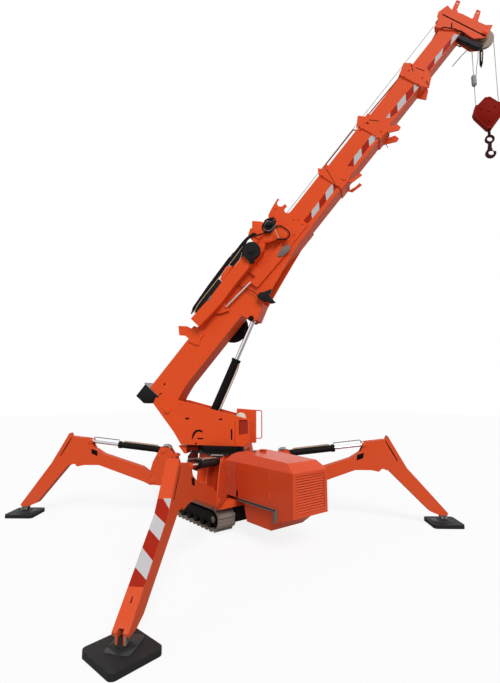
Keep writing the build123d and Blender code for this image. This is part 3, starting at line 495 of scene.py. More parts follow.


# Near-black for real gaps, seams and small black parts, and for painted shade: inside slots and holes, above the step
# rails, along the turret window's edges and at the legs' knees.
joint_and_shade_black = surface("joint_and_shade_black", (0.006, 0.004, 0.004), (0.02, 0.015, 0.015), 0.7, gloss=0.04, scuff=0.1, dust=0.03)
# The housing's orange is the machine's orange made darker, as painted shade, under a clear coat.
housing_orange_shaded = surface("housing_orange_shaded", (0.76, 0.076, 0.016), (0.88, 0.3, 0.13), 0.42, gloss=0.12, coat=0.25,
    grain=0.015)
# Dark red: the orange paint darkened, as painted shade inside the housing, the turret's rear recess and the deck's
# side.
shaded_inside_red = surface("shaded_inside_red", (0.17, 0.012, 0.005), (0.3, 0.06, 0.03), 0.6, gloss=0.06)
rail_grey = surface("rail_grey", (0.15, 0.145, 0.13), (0.35, 0.34, 0.32), 0.5, dust=0.3)
finish(housing_orange_shaded, "engine_housing", "housing_grille")
finish(rail_grey, "housing_rail")
finish(chassis_black, "engine_block")
housing_skin = 256.2
rail_face = 280.2
for side, name in track_sides:
    wall = Matrix(((1, 0, 0, 0), (0, 0, -1, 0), (0, 1, 0, 0), (0, 0, 0, 1)))
    if side > 0:
        wall = Matrix(((1, 0, 0, 0), (0, 0, 1, 0), (0, -1, 0, 0), (0, 0, 0, 1)))
    up = -side
    door_gap = plate("door_gap_" + name, [(650.5, up * 440), (653.5, up * 440), (653.5, up * 834), (650.5, up * 834)],
                     housing_skin, housing_skin + 0.5)
    mounted(door_gap, wall, "chassis", "dark", joint_and_shade_black)
    door_latch = plate("door_latch_" + name, [(656, up * 448), (684, up * 444), (682, up * 520), (660, up * 520)],
                       housing_skin, housing_skin + 3, edge=1)
    mounted(door_latch, wall, "chassis", "dark", joint_and_shade_black)
    # Black strip over the step rail: painted shadow above the rail.
    rail_shadow_strip = plate("rail_shadow_strip_" + name, [(704, up * 441), (1366, up * 441), (1366, up * 432), (704, up * 432)],
                       rail_face, rail_face + 2.3)
    mounted(rail_shadow_strip, wall, "chassis", "rubber", joint_and_shade_black)
    hinge = turned("door_hinges_" + name, [(7, -28), (7, 28)], sides=12)
    hinge.data.transform(Matrix.Rotation(math.radians(90), 4, "X"))
    mounted(copied(hinge, [at(1240, up * 560, housing_skin + 2), at(1240, up * 760, housing_skin + 2)]), wall,
            "chassis", "paint", housing_orange_shaded)
front = Matrix(((0, 0, 1, 0), (1, 0, 0, 0), (0, 1, 0, 0), (0, 0, 0, 1)))
# A dark red sheet behind the louvre paints the shade inside the housing.
mounted(plate("louvre_shade_backing", [(-222, 423), (222, 423), (222, 812), (-222, 812)], 1580, 1582), front, "chassis",
        "paint", shaded_inside_red)
roof_top = 951
filler_place = at(790, 40, roof_top)
filler_cap = turned("filler_cap", [(44, 0), (44, 6), (36, 8), (36, 13), (41, 14), (41, 22), (35, 25)], sides=24)
mounted(filler_cap, filler_place, "chassis", "paint", housing_orange_shaded)
filler_band = gland("filler_band", 42.5, 41.2, 15, 21)
mounted(filler_band, filler_place, "chassis", "dark", joint_and_shade_black)
exhaust_stub = turned("exhaust_stub", [(26, 0), (26, 4), (18, 6), (18, 15), (20, 17)], sides=24)
mounted(exhaust_stub, at(760, -70, roof_top), "chassis", "steel", bolt_steel)
roof_seam = plate("roof_seam", strip((668, -196), (668, 196), 3), 949.5, 950.6)
mounted(roof_seam, upright_place, "chassis", "dark", joint_and_shade_black)


# Superstructure: two orange side plates with lightening slots, front boxes, a pipe guard and a cream beacon.
# Slots are black films, painted shade; the boom pin ends in orange caps; the front window's dark red panel is painted
# shade.
def axes(origin, x_dir, y_dir):
    """Matrix of a piece's own axes."""
    z_dir = x_dir.cross(y_dir)
    matrix = Matrix((x_dir, y_dir, z_dir)).transposed().to_4x4()
    matrix.translation = origin
    return matrix


joints = {joint["name"]: joint for joint in frame["joints"]}
boom_along = Vector(joints["telescope"]["axis"]).normalized()
near = Vector(joints["luff"]["axis"]).normalized()
boom_up = near.cross(boom_along).normalized()
over_ground = Vector((boom_along.x, boom_along.y, 0)).normalized()
upwards = Vector((0, 0, 1))
turret_place = axes(Vector((0, 0, 0)), over_ground, upwards)
boom_place = axes(Vector(joints["luff"]["pos_m"]) + 0.1696 * boom_along + 0.0235 * boom_up, boom_along, boom_up)

finish(crane_orange, "turret_frame", "turret_box_near", "turret_box_far", "guard_rail")
slot_outlines = [
    [(-479, 1303), (-472, 1297), (-432, 1297), (-424, 1304), (-424, 1316), (-432, 1322), (-472, 1322), (-479, 1316)],
    [(-5, 1302), (2, 1297), (38, 1297), (44, 1303), (44, 1312), (38, 1318), (2, 1318), (-5, 1312)],
    [(160, 1048), (164, 1044), (177, 1044), (181, 1048), (181, 1177), (177, 1181), (164, 1181), (160, 1177)],
    [(-379, 1076), (-366, 1123), (-330, 1157), (-280, 1169), (-243, 1157), (-221, 1131), (-250, 1135), (-286, 1141),
     (-322, 1128),
     (-351, 1090), (-364, 1050), (-386, 1036)],
    [(-303, 1040), (-221, 1041), (-221, 1060), (-303, 1058)],
    [(-336, 992), (-322, 1000), (-308, 992), (-312, 972), (-330, 972)],
    [(216, 970), (219, 970), (219, 1298), (216, 1298)],
]
mark_depth = 0.6
turret_face, pin_face = 165.2, 177
boom_sides = ((1, "near"), (-1, "far"))
for side, name in boom_sides:
    # Black films paint the shade inside the side plates' slots and holes.
    slots = [plate("slot", outline, *layer(side, turret_face, mark_depth)) for outline in slot_outlines]
    mounted(joined(slots, "turret_slots_" + name), turret_place, "turret", "dark", joint_and_shade_black)
    bolt_places = [(-811, 1446), (-683, 1434), (-500, 1010), (-440, 1010), (-60, 1010), (0, 1010), (250, 1010),
                   (-560, 1500), (300, 1330)]
    places = [at(s, z, side * turret_face, side < 0) for s, z in bolt_places]
    repeated("turret_bolts_" + name, [(9, 0), (9, 5), (7, 7)], 6, places, turret_place, "turret", "paint",
             crane_orange)
    places = [at(-745, 1410, side * pin_face, side < 0)]
    repeated("boom_pin_cap_" + name, [(36, 0), (36, 4), (30, 6)], 32, places, turret_place, "turret", "paint",
             crane_orange)

# The window at the front: a dark red panel paints the shade inside it, and black strips paint the shadow along its
# left and top edges.
window_panel = plate("turret_window", [(272, 1112), (387, 1130), (387, 1301), (270, 1301)], 150.3, 151.2)
window_shade_red = surface("window_shade_red", (0.36, 0.032, 0.014), (0.6, 0.2, 0.1), 0.5, gloss=0.08)
mounted(window_panel, turret_place, "turret", "paint", window_shade_red)
window_shadow_rim = joined([plate("rim", strip((272, 1112), (270, 1301), 9), 151.3, 152),
                     plate("rim", strip((270, 1297), (387, 1297), 9), 151.3, 152)], "turret_window_rim")
mounted(window_shadow_rim, turret_place, "turret", "dark", joint_and_shade_black)
rear_box = plate("turret_rear_box", [(-594, 944), (-508, 842), (-478, 842), (-478, 944)], -60, 120, edge=3)
mounted(rear_box, turret_place, "turret", "paint", crane_orange)
# The rear recess is a dark red box: painted shade inside it.
rear_recess = plate("turret_rear_recess", [(-477, 882), (-312, 882), (-312, 944), (-477, 944)], -58, 112, edge=3)
mounted(rear_recess, turret_place, "turret", "paint", shaded_inside_red)
# A dark red sheet at the deck's near side paints the shade inside it.
side_plate = plate("deck_side_shade_plate", [(-575, 600), (-314, 590), (-305, 850), (-470, 850), (-575, 760)], -4, 4,
                   edge=1)
side_wall = Matrix(((1, 0, 0, 0), (0, 0, -1, -0.2), (0, 1, 0, 0), (0, 0, 0, 1)))
mounted(side_plate, side_wall, "chassis", "paint", shaded_inside_red)

ivory = surface("ivory", (0.72, 0.62, 0.5), (0.85, 0.8, 0.72), 0.4, scuff=0.1, dust=0.05)
beacon = turned("beacon", [(72, 0), (72, 10), (69, 26), (62, 42), (50, 57), (34, 67), (16, 72)], sides=32)
mounted(beacon, turret_place @ at(282, 1322, 118) @ Matrix.Rotation(math.radians(-90), 4,
    "X") @ Matrix.Diagonal((1, 0.62, 1, 1)), "turret", "plastic", ivory)


# Boom: five orange box sections that slide in each other, with red and white stripes stuck on both sides.
# Each stripe is a film under a millimetre thick; collars carry adjusting screws and slots whose black films are
# painted shade.
stripe_red = surface("stripe_red", (0.4, 0.018, 0.006), (0.5, 0.2, 0.12), 0.45, gloss=0.08, scuff=0.1, dust=0.05,
                     grain=0.01)
stripe_white = surface("stripe_white", (0.58, 0.56, 0.57), (0.5, 0.45, 0.42), 0.45, gloss=0.1, scuff=0.1, dust=0.05,
                       grain=0.01)
finish(crane_orange, "boom_base", "boom_section_2", "boom_section_3", "boom_section_4", "boom_section_5", "boom_head")
red_films = {
    "section_2": [[(2988, 152), (2941, 80), (3065, 76), (3145, 147)],
                  [(3304, 148), (3220, 72), (3362, 70), (3446, 154)],
                  [(3604, 155), (3512, 71), (3639, 81), (3641, 146)]],
    "section_3": [[(3891, 148), (3941, 76), (4041, 155)], [(4191, 154), (4111, 77), (4260, 77), (4342, 152)]],
    "section_4": [[(4915, 146), (4778, 147), (4719, 102), (4832, 70)][::-1],
                  [(5085, 142), (4993, 64), (5142, 60), (5229, 127)]],
    "section_5": [[(5515, 142), (5480, 55), (5590, 60), (5675, 134)],
                  [(5834, 126), (5738, 54), (5896, 46), (5992, 118)]],
}
white_films = {
    "section_2": [[(3145, 147), (3065, 76), (3220, 72), (3304, 148)],
                  [(3446, 154), (3362, 70), (3512, 71), (3604, 155)]],
    "section_3": [[(4041, 155), (3941, 76), (4111, 77), (4191, 154)],
                  [(4342, 152), (4260, 77), (4380, 62), (4397, 62), (4441, 135), (4430, 146)]],
    "section_4": [[(4683, 146), (4719, 102), (4778, 147)], [(4915, 146), (4832, 70), (4993, 64), (5085, 142)],
                  [(5229, 127), (5142, 60), (5239, 54), (5248, 131)]],
    "section_5": [[(5675, 134), (5590, 60), (5738, 54), (5834, 126)],
                  [(5992, 118), (5896, 46), (6060, 30), (6051, 122)]],
}
section_halves = {"section_2": 131, "section_3": 121, "section_4": 109, "section_5": 95}
film_thickness = 0.7
for body, half in section_halves.items():
    for colour, films, material in (("red", red_films, stripe_red), ("white", white_films, stripe_white)):
        stripes = []
        for outline in films[body]:
            if body == "section_5":
                outline = [(a, max(73, 142 - (142 - p) * 0.68)) for a, p in outline]
            stripes += both_faces("stripe", outline, half + 0.1, film_thickness)
        mounted(joined(stripes, "stripes_" + colour + "_" + body), boom_place, body, "paint", material)

collar_slots = {
    "section_2": (145.2, [strip((3718, 372), (3610, 120), 7), strip((3706, 100), (3722, 30), 7)]),
    "section_3": (135.2, [strip((4545, 301), (4600, 180), 9), strip((4529, 7), (4495, -60), 9),
        [(4490, 281), (4500, 276), (4512, 284), (4512, 300), (4500, 306), (4490, 298)]]),
    "section_4": (123.2, [strip((5436, 328), (5367, 244), 9), strip((5427, 249), (5440, 127), 9),
        strip((5342, 24), (5306, -42), 9)]),
}
# Black films in the collars' slots: painted shade inside them.
for body, (half, outlines) in collar_slots.items():
    slots = []
    for outline in outlines:
        slots += both_faces("slot", outline, half, mark_depth)
    mounted(joined(slots, "collar_slots_" + body), boom_place, body, "dark", joint_and_shade_black)
collar_screws = {"section_2": (3680, 145, 180), "section_3": (4470, 135, 167), "section_4": (5330, 123, 151)}
for body, (a, half, reach) in collar_screws.items():
    places = []
    for p in (197 - reach + 45, 197 + reach - 45):
        for shift in (-70, 30):
            places += both_ends(a + shift, p, half + 0.2)
    repeated("collar_screws_" + body, [(14, 0), (14, 5), (9, 6), (9, 10)], 12, places, boom_place, body, "paint",
             crane_orange)

# Boom foot: black films paint the shade in a hole where the foot turns on its pin and in a slot, and black caps sit
# on the pin of the luffing cylinder.
boom_face, side_plate_face = 145.2, 160.2
for side, name in boom_sides:
    # The black octagon and slot are painted shade inside the holes.
    levels = layer(side, boom_face, mark_depth)
    octagon = [(16, 0), (11, 11), (0, 16), (-11, 11), (-16, 0), (-11, -11), (0, -16), (11, -11)]
    foot_hole = plate("foot_holes_" + name, [(a + 67, p + 256) for a, p in octagon], *levels)
    foot_slot = plate("foot_slot", strip((-100, 222), (-48, 205), 14), *levels)
    mounted(joined([foot_hole, foot_slot], "foot_holes_" + name), boom_place, "boom", "dark", joint_and_shade_black)
    places = [at(1526, -132, side * (boom_face + 0.1), side < 0)]
    repeated("luff_pin_caps_" + name, [(38, 0), (38, 6), (32, 9), (14, 9), (14, 14)], 24, places, boom_place, "boom",
             "dark", chassis_black)
    hook_places = [(2600, 120), (2600, 300), (2760, 120), (2920, 260), (2954, 215), (2935, 120), (2800, 520),
                   (2900, 560)]
    places = [at(a, p, side * side_plate_face, side < 0) for a, p in hook_places]
    repeated("hook_bolts_" + name, [(12, 0), (12, 7), (10, 9)], 6, places, boom_place, "boom", "paint", crane_orange)


# Hoist rope over the boom: wire rope from the winch through a guide to the head, taut. Each length reaches from
# one section to the next. The rods beside it guide the sections' hose.
def wire(name, points, radius, order=2):
    """Round wire or tube along points in a piece's own axes, millimetres."""
    curve = bpy.data.curves.new(name, "CURVE")
    curve.dimensions = "3D"
    curve.bevel_depth = radius / 1000
    curve.bevel_resolution = 3
    curve.resolution_u = 8
    curve.use_fill_caps = True
    spline = curve.splines.new("NURBS")
    spline.points.add(len(points) - 1)
    for point, (x, y, z) in zip(spline.points, points):
        point.co = (x / 1000, y / 1000, z / 1000, 1)
    spline.order_u = order
    spline.use_endpoint_u = True
    piece = bpy.data.objects.new(name, curve)
    bpy.context.collection.objects.link(piece)
    chosen(piece)
    bpy.ops.object.convert(target="MESH")
    piece = bpy.context.active_object
    open_mesh()
    close_mesh(weld=0.00002)
    return piece


def tube(name, points, radius, body, slot, material, place, order=2):
    """Round tube mounted at its place."""
    return mounted(wire(name, points, radius, order), place, body, slot, material, smooth=50)


def across(place, first, second, start, end):
    """Two bodies, and the world points of a piece's two ends given in its own axes."""
    return first, second, place @ Vector(start), place @ Vector(end)


wire_rope = surface("wire_rope", (0.33, 0.3, 0.28), (0.5, 0.47, 0.45), 0.45, metal=0.6, grain=0.6, dust=0.0)
rod_red = surface("rod_red", (0.3, 0.02, 0.01), (0.45, 0.2, 0.15), 0.5, gloss=0.1)
rope_level = 460
tube("top_rope_boom", [(1253, 283, -215), (2400, 440, -168), (2880, rope_level, 0), (3752, rope_level, 0)], 4.2,
     "boom", "steel", wire_rope, boom_place)
spans = (("boom", "section_2", 2880, 3752), ("section_2", "section_3", 3752, 4600),
         ("section_3", "section_4", 4600, 5440), ("section_4", "section_5", 5440, 6110))
for first, second, start, end in spans:
    stretch = across(boom_place, first, second, (start / 1000, rope_level / 1000, 0),
                     (end / 1000, rope_level / 1000, 0))
    tube("top_rope_" + second, [(start, rope_level, 0), (end, rope_level, 0)], 4.0, stretch, "steel", wire_rope,
         boom_place)
stretch = across(boom_place, "section_2", "section_3", (3.70, 0.409, 0.1), (4.35, 0.409, 0.1))
tube("hose_guide_section_3", [(3690, 380, 100), (3700, 409, 100), (4350, 409, 100), (4360, 370, 100)], 8, stretch,
     "block", rod_red, boom_place)
stretch = across(boom_place, "section_3", "section_4", (4.58, 0.378, 0.092), (5.27, 0.378, 0.092))
tube("hose_guide_section_4", [(4570, 352, 92), (4580, 378, 92), (5270, 356, 92), (5285, 340, 92)], 8, stretch,
     "block", rod_red, boom_place)

# Winch on the far side: black flanges, rope wound in layers on its drum, hydraulic motor with screws.
finish(chassis_black, "winch")
winch_a, winch_p, winch_out = 1253, 123, -285.6
drum_steps = []
for turn_number in range(9):
    z = -285 + 16 + turn_number * 12.2
    drum_steps += [(165, z), (170, z + 3), (170, z + 8), (165, z + 11.2)]
rope_drum = turned("rope_drum", drum_steps, sides=40)
mounted(rope_drum, boom_place @ at(winch_a, winch_p, 0), "boom", "steel", wire_rope)
motor = turned("winch_motor", [(96, 0), (96, 18), (88, 22), (60, 24), (60, 64), (52, 70), (20, 72)], sides=32)
mounted(motor, boom_place @ at(winch_a, winch_p, winch_out, True), "boom", "dark", chassis_black)
repeated("winch_bolts", [(8, 0), (8, 6), (6, 8)], 6, ring(8, 78),
         boom_place @ at(winch_a, winch_p, winch_out - 22, True), "boom",
         "steel", bolt_steel)

# Control box at the boom's tail: black moulded case on a grey plate, with a raised lid on each side.
case_black = surface("case_black", (0.012, 0.011, 0.011), (0.09, 0.08, 0.075), 0.5, gloss=0.1, dust=0.08, grain=0.25)
plate_grey = surface("plate_grey", (0.3, 0.31, 0.3), (0.5, 0.5, 0.5), 0.5)
finish(case_black, "control_box")
finish(plate_grey, "boom_tail_plate")
for side, name in boom_sides:
    lid = plate("box_lid_" + name, [(-334, 336), (-284, 268), (-134, 268), (-134, 484), (-334, 484)], 0, 4, edge=1.5)
    mounted(lid, boom_place @ at(0, 0, side * 127 - (0 if side > 0 else 4) - (1.5 if side > 0 else -1.5)), "boom",
            "plastic", case_black)

# Stowed jib on the near side: orange box beam with hose chain, hose reel, cable loops and a work lamp.
# Hoses are clipped to the beam, so they are fixed trim.
finish(crane_orange, "jib_beam")
hose_black = surface("hose_black", (0.01, 0.009, 0.009), (0.07, 0.065, 0.06), 0.5, gloss=0.1, dust=0.05, grain=0.3)
cable_grey = surface("cable_grey", (0.2, 0.18, 0.17), (0.3, 0.28, 0.26), 0.5, gloss=0.15, dust=0.05)
hard_chrome = surface("hard_chrome", (0.72, 0.72, 0.74), (0.8, 0.8, 0.8), 0.12, metal=1.0, gloss=0.5, patch=0.15,
                      scuff=0.0, dust=0.05, grain=0.01)
jib_boxes = [
    plate("box", [(1866, 579), (1922, 491), (1664, 473), (1675, 521)], 200, 264, edge=4),
    plate("box", [(2410, 440), (2423, 567), (2558, 679), (2619, 578), (2640, 500), (2560, 455), (2520, 420)], 200,
          262, edge=5),
    plate("box", [(2360, 420), (2440, 500), (2620, 560), (2700, 520), (2750, 440), (2700, 330), (2600, 215),
                  (2480, 300)], 200, 232, edge=4),
    plate("box", [(2640, 345), (2715, 325), (2725, 250), (2712, 165), (2640, 150), (2590, 215)], 200, 236, edge=4),
]
mounted(joined(jib_boxes, "jib_boxes"), boom_place, "boom", "paint", crane_orange)
chain_bands = [
    plate("band", [(1090, 478), (1655, 484), (1655, 562), (1130, 562)], 214, 224, edge=2),
    plate("band", [(1915, 500), (2150, 480), (2240, 560), (1925, 562)], 214, 224, edge=2),
    plate("band", [(1060, 545), (1150, 585), (1500, 606), (1970, 618), (2128, 592), (2257, 600), (2362, 590),
                   (2300, 560), (2071, 549), (1653, 554), (1411, 551), (1143, 547)], 222, 262, edge=4),
    plate("band", [(1102, 470), (1335, 470), (1662, 477), (1670, 541), (1480, 538), (1123, 521)], 222, 258, edge=4),
    plate("band", [(1904, 539), (1926, 484), (2003, 469), (2110, 456), (2180, 470), (2150, 540)], 222, 258, edge=4),
]
mounted(joined(chain_bands, "jib_hose_bands"), boom_place, "boom", "rubber", hose_black)
for number, lift in enumerate((8, 24, 40)):
    points = [(1150, 548 + lift / 2, 264), (1500, 555 + lift, 264), (1970, 562 + lift, 264), (2128, 552 + lift, 264),
              (2257, 556 + lift, 264), (2380, 540 + lift, 262), (2450, 500 + lift, 262)]
    tube("jib_hose_" + str(number), points, 7.5, "boom", "rubber", hose_black, boom_place, order=3)
hose_beige = surface("hose_beige", (0.62, 0.42, 0.27), (0.8, 0.7, 0.6), 0.5, dust=0.1)
tube("jib_feed_line", [(1095, 505, 262), (1143, 545, 264), (1500, 545, 264), (2071, 545, 264), (2210, 556, 262)], 5.5,
     "boom", "plastic", hose_beige, boom_place, order=3)
tube("jib_return_line", [(1930, 470, 262), (2010, 462, 262), (2080, 480, 262), (2200, 530, 262)], 5, "boom",
     "plastic", hose_beige, boom_place, order=3)
clip = plate("jib_hose_clips", [(-44, -15), (44, -8), (40, 12), (-44, 8)], 258, 268, edge=3)
mounted(copied(clip, [at(1385, 468, 0), at(2030, 600, 0)]), boom_place, "boom", "steel", bolt_steel)
reel = turned("hose_reel", [(20, 0), (122, 0), (122, 7), (88, 9), (88, 34), (122, 36), (122, 43), (46, 46), (38, 60),
    (12, 62)], sides=40)
mounted(reel, boom_place @ at(2226, 404, 265.3), "boom", "plastic", case_black)
reel_arm = plate("reel_arm", [(2110, 350), (2085, 305), (2125, 270), (2180, 300), (2190, 360)], 262, 300, edge=5)
mounted(reel_arm, boom_place, "boom", "plastic", case_black)
for number, (a, p, size, out) in enumerate(((2610, 440, 78, 262), (2630, 432, 66, 275), (2650, 446, 70, 288),
    (2668, 430, 58, 250), (2700, 440, 52, 270))):
    ring = [(a + size * math.cos(i * math.pi / 5), p + size * math.sin(i * math.pi / 5),
             out + 9 * math.sin(i)) for i in range(11)]
    tube("hose_coil_" + str(number), ring, 11, "boom", "rubber", hose_black if number % 2 == 0 else cable_grey,
         boom_place, order=3)
jib_motor = turned("jib_motor", [(62, 0), (62, 46), (44, 52), (34, 70), (28, 76), (14, 78)], sides=24)
mounted(jib_motor, boom_place @ at(2650, 440, 232.3), "boom", "dark", hose_black)
for number, points in enumerate((
    [(2407, 541, 262), (2430, 500, 266), (2461, 474, 266), (2528, 419, 266), (2624, 420, 270)],
    [(2674, 368, 250), (2717, 349, 246), (2737, 265, 246), (2729, 159, 246), (2691, 129, 246), (2630, 132, 246),
     (2576, 210, 240), (2560, 260, 225)],
)):
    tube("jib_cable_" + str(number), points, 8.5, "boom", "rubber", hose_black, boom_place, order=3)
tube("jib_rope_rod", [(2639, 330, 285), (2575, 208, 285)], 6, "boom", "plastic", hose_beige, boom_place)
end_plate = plate("jib_end_plate", [(2396, 100), (2402, 72), (2447, 44), (2540, 24), (2590, 40), (2597, 78),
    (2572, 116), (2476, 130), (2410, 120)], 181.4, 192, edge=3)
mesh_grey = surface("mesh_grey", (0.2, 0.17, 0.15), (0.4, 0.38, 0.35), 0.55, gloss=0.1)
mounted(end_plate, boom_place, "boom", "grey", mesh_grey)
tube("jib_lock_rod", [(1434, 234, 190), (1907, 175, 190)], 13, "boom", "chrome", hard_chrome, boom_place)
lamp = plate("work_lamp", [(1797, -30), (1860, -14), (1905, -60), (1992, -112), (1988, -128), (1916, -142),
    (1902, -215), (1894, -272), (1845, -232), (1832, -170), (1805, -136)], 152, 214, edge=5)
mounted(lamp, boom_place, "boom", "plastic", case_black)
tube("work_lamp_cable", [(1820, -30, 180), (1830, 60, 176), (1800, 150, 172), (1760, 300, 172)], 5, "boom", "rubber",
     hose_black, boom_place, order=3)

# Boom head: seams of the folded side plates, a guide roller for the rope on top, and the sand-coloured
# nylon sheave below with the hoist limit switch in its black case.
sand_nylon = surface("sand_nylon", (0.34, 0.25, 0.19), (0.5, 0.42, 0.34), 0.45, scuff=0.2, dust=0.0)
finish(sand_nylon, "head_sheave")
head_face = 110.2
finish(case_black, "switch_box")
for side, name in boom_sides:
    levels = layer(side, head_face, 0.7)
    marks = [
        plate("mark", strip((6196, 422), (6188, 100), 16), *levels),
        plate("mark", strip((6188, 102), (6179, -233), 16), *levels),
        plate("mark", strip((6023, 319), (6056, 294), 17), *levels),
        plate("mark", strip((6056, 296), (6094, 166), 17), *levels),
        plate("mark", strip((6094, 168), (6101, 16), 17), *levels),
        plate("mark", strip((6148, 249), (6089, 204), 15), *levels),
    ]
    mounted(joined(marks, "head_seams_" + name), boom_place, "section_5", "dark", joint_and_shade_black)
    places = [at(6215, -185, side * (head_face + 10), side < 0)]
    repeated("sheave_cap_" + name, [(34, 0), (34, 5), (26, 8), (12, 8), (12, 14)], 24, places, boom_place,
             "section_5", "paint", crane_orange)
guide_roller = turned("rope_guide_roller", [(20, -42), (20, -36), (13, -32), (13, 32), (20, 36), (20, 42)], sides=24)
mounted(guide_roller, boom_place @ at(6128, 440, 0), "section_5", "dark", chassis_black)
# The wedge that holds the rope's end is mounted with the falls, below.
wedge = plate("rope_wedge", [(-14, -66), (4, -118), (22, -64), (40, 108), (24, 130), (-4, 126)], -11, 11, edge=3)
wedge_core = plate("rope_wedge_core", [(2, -30), (12, -30), (24, 96), (10, 98)], 11.1, 13, edge=0.5)
tube("switch_cable", [(6040, -60, 60), (5990, -150, 64), (5900, -120, 70), (5700, -112, 60)], 5, "section_5",
     "rubber", hose_black, boom_place, order=3)

# Hook block: dark red side plates with rounded edges, bolts, and a black hook with a steel safety latch.
# The limit weight hangs over the block round one fall of the rope, and a wedge holds the rope's end above it.
block_red = surface("block_red", (0.25, 0.009, 0.004), (0.36, 0.05, 0.03), 0.55, gloss=0.03, dust=0.0, grain=0.01)
hook_iron = surface("hook_iron", (0.03, 0.005, 0.004), (0.12, 0.06, 0.05), 0.5, gloss=0.05, scuff=0.3, dust=0.0)
finish(block_red, "hook_block")
finish(hook_iron, "hook")
hang = Vector(joints["hook_turn"]["pos_m"])
hang_s = hang.dot(over_ground) * 1000
hang_place = turret_place @ at(hang_s, 0, 0)
rope_low, rope_high = (corner.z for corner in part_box("hoist_rope"))
rope_spread = 130.3
cheek_face = 38.2
lengths = [wire("length", [(x, rope_low * 1000, 0), (x, rope_high * 1000, 0)], 5) for x in (-rope_spread,
    rope_spread)]
stretch = across(hang_place, "falls", "block", (0, rope_high, 0), (0, rope_low, 0))
falls_rope = mounted(joined(lengths, "falls_rope"), hang_place, stretch, "steel", wire_rope, smooth=50)
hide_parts("hoist_rope")
wedge_place = hang_place @ at(-50, 5890, 40)
mounted(wedge, wedge_place, "section_5", "dark", joint_and_shade_black)
mounted(wedge_core, wedge_place, "section_5", "plastic", ivory)
for side, name in boom_sides:
    levels = layer(side, cheek_face, 3.8)
    cheek = plate("block_cheek_" + name, [(0, 5330), (95, 5268), (135, 5180), (120, 5120), (22, 4985), (-22, 4985),
        (-120, 5120), (-135, 5180), (-95, 5268)], *levels, edge=2)
    mounted(cheek, hang_place, "block", "block", block_red)
    bolt_places = ((-78, 5215), (78, 5215), (0, 5170), (0, 5040))
    places = [at(x, z, side * (cheek_face + 4), side < 0) for x, z in bolt_places]
    repeated("block_bolts_" + name, [(13, 0), (13, 6), (10, 8)], 6, places, hang_place, "block", "block", block_red)
latch = plate("hook_latch", [(18, 4668), (26, 4664), (62, 4640), (58, 4632), (22, 4654)], -7, 7, edge=1.5)
mounted(latch, hang_place, "hook", "steel", bolt_steel)
weight = turned("limit_weight", [(14, 5562), (30, 5584), (31, 5698), (27, 5706)], sides=24)
mounted(weight, hang_place @ at(-rope_spread, 0, 0) @ Matrix.Rotation(math.radians(-90), 4, "X") @ Matrix.Scale(1, 4),
        "falls", "steel", plate_grey)
tube("limit_chain", [(-130 + 26, 5700, 22), (-100, 5790, 30), (-80, 5900, 44), (-70, 6010, 50)], 4, "falls", "steel",
     bolt_steel, hang_place)

# Luffing cylinder: black barrel with a gland nut and a collar, chrome rod, a beige pipe and a red hose along it.
finish(chassis_black, "luff_barrel")
finish(hard_chrome, "luff_rod")
luff_foot = Vector(joints["luff_barrel_tilt"]["pos_m"])
luff_along = Vector(joints["luff_rod_slide"]["axis"]).normalized()
luff_place = axes(luff_foot, luff_along, near.cross(luff_along).normalized())
to_axis = Matrix.Rotation(math.radians(90), 4, "Y")
mounted(gland("luff_gland", 64, 30.5, 1096, 1128), luff_place @ to_axis, "luff_barrel", "dark", chassis_black)
mounted(gland("luff_collar", 62, 57.2, 120, 150), luff_place @ to_axis, "luff_barrel", "dark", chassis_black)
tube("luff_pipe", [(70, -66, 24), (140, -66, 24), (1000, -66, 24), (1085, -60, 20)], 6, "luff_barrel", "plastic",
     hose_beige, luff_place)
tube("luff_hose", [(70, -80, 10), (140, -78, 10), (1000, -78, 10), (1090, -62, 8)], 5, "luff_barrel", "block",
     rod_red, luff_place)

# Outriggers: four folded orange legs on yaw brackets, each with a black cylinder, chrome rod and a moulded pad.
# Every leg has stripes on the outer face of its foot, pin caps, a gland, two pipes, a bent cover over the
# cylinder's pin, and steel cheeks at its fork. Its stripes are set out on the long front right leg.
pad_black = surface("pad_black", (0.018, 0.018, 0.019), (0.07, 0.07, 0.075), 0.55, gloss=0.12, grain=0.3, dust=0.03,
                    rounding=0.008)
boss_grey = surface("boss_grey", (0.05, 0.05, 0.052), (0.2, 0.2, 0.2), 0.45, gloss=0.15, grain=0.2, dust=0.03,
                    rounding=0.006)
cheek_steel = surface("cheek_steel", (0.4, 0.37, 0.34), (0.6, 0.58, 0.55), 0.45, metal=0.5)
# The legs' orange is the machine's orange darkened: painted shade on every leg.
leg_orange_shaded = surface("leg_orange_shaded", (0.74, 0.083, 0.02), (0.85, 0.32, 0.16), 0.48, gloss=0.12)
pipe_tan = surface("pipe_tan", (0.42, 0.3, 0.22), (0.6, 0.5, 0.42), 0.45, gloss=0.15)


knee_r, knee_z = 1475, 1100    # upper end of the foot's outer face
bend_r, bend_z = 1700, 700     # where that face bends
toe_out, toe_z = 40, 150       # its lower end, past the pad's centre
stripes_start, stripes_span = 1640, 660
leg_face, bracket_face = 58.2, 76.2


def outer_face(r, reach):
    """Height of the leg's outer face at a distance from its yaw axis, millimetres."""
    if r < bend_r:
        return knee_z - (r - knee_r) * (knee_z - bend_z) / (bend_r - knee_r)
    return bend_z - (r - bend_r) * (bend_z - toe_z) / (reach + toe_out - bend_r)


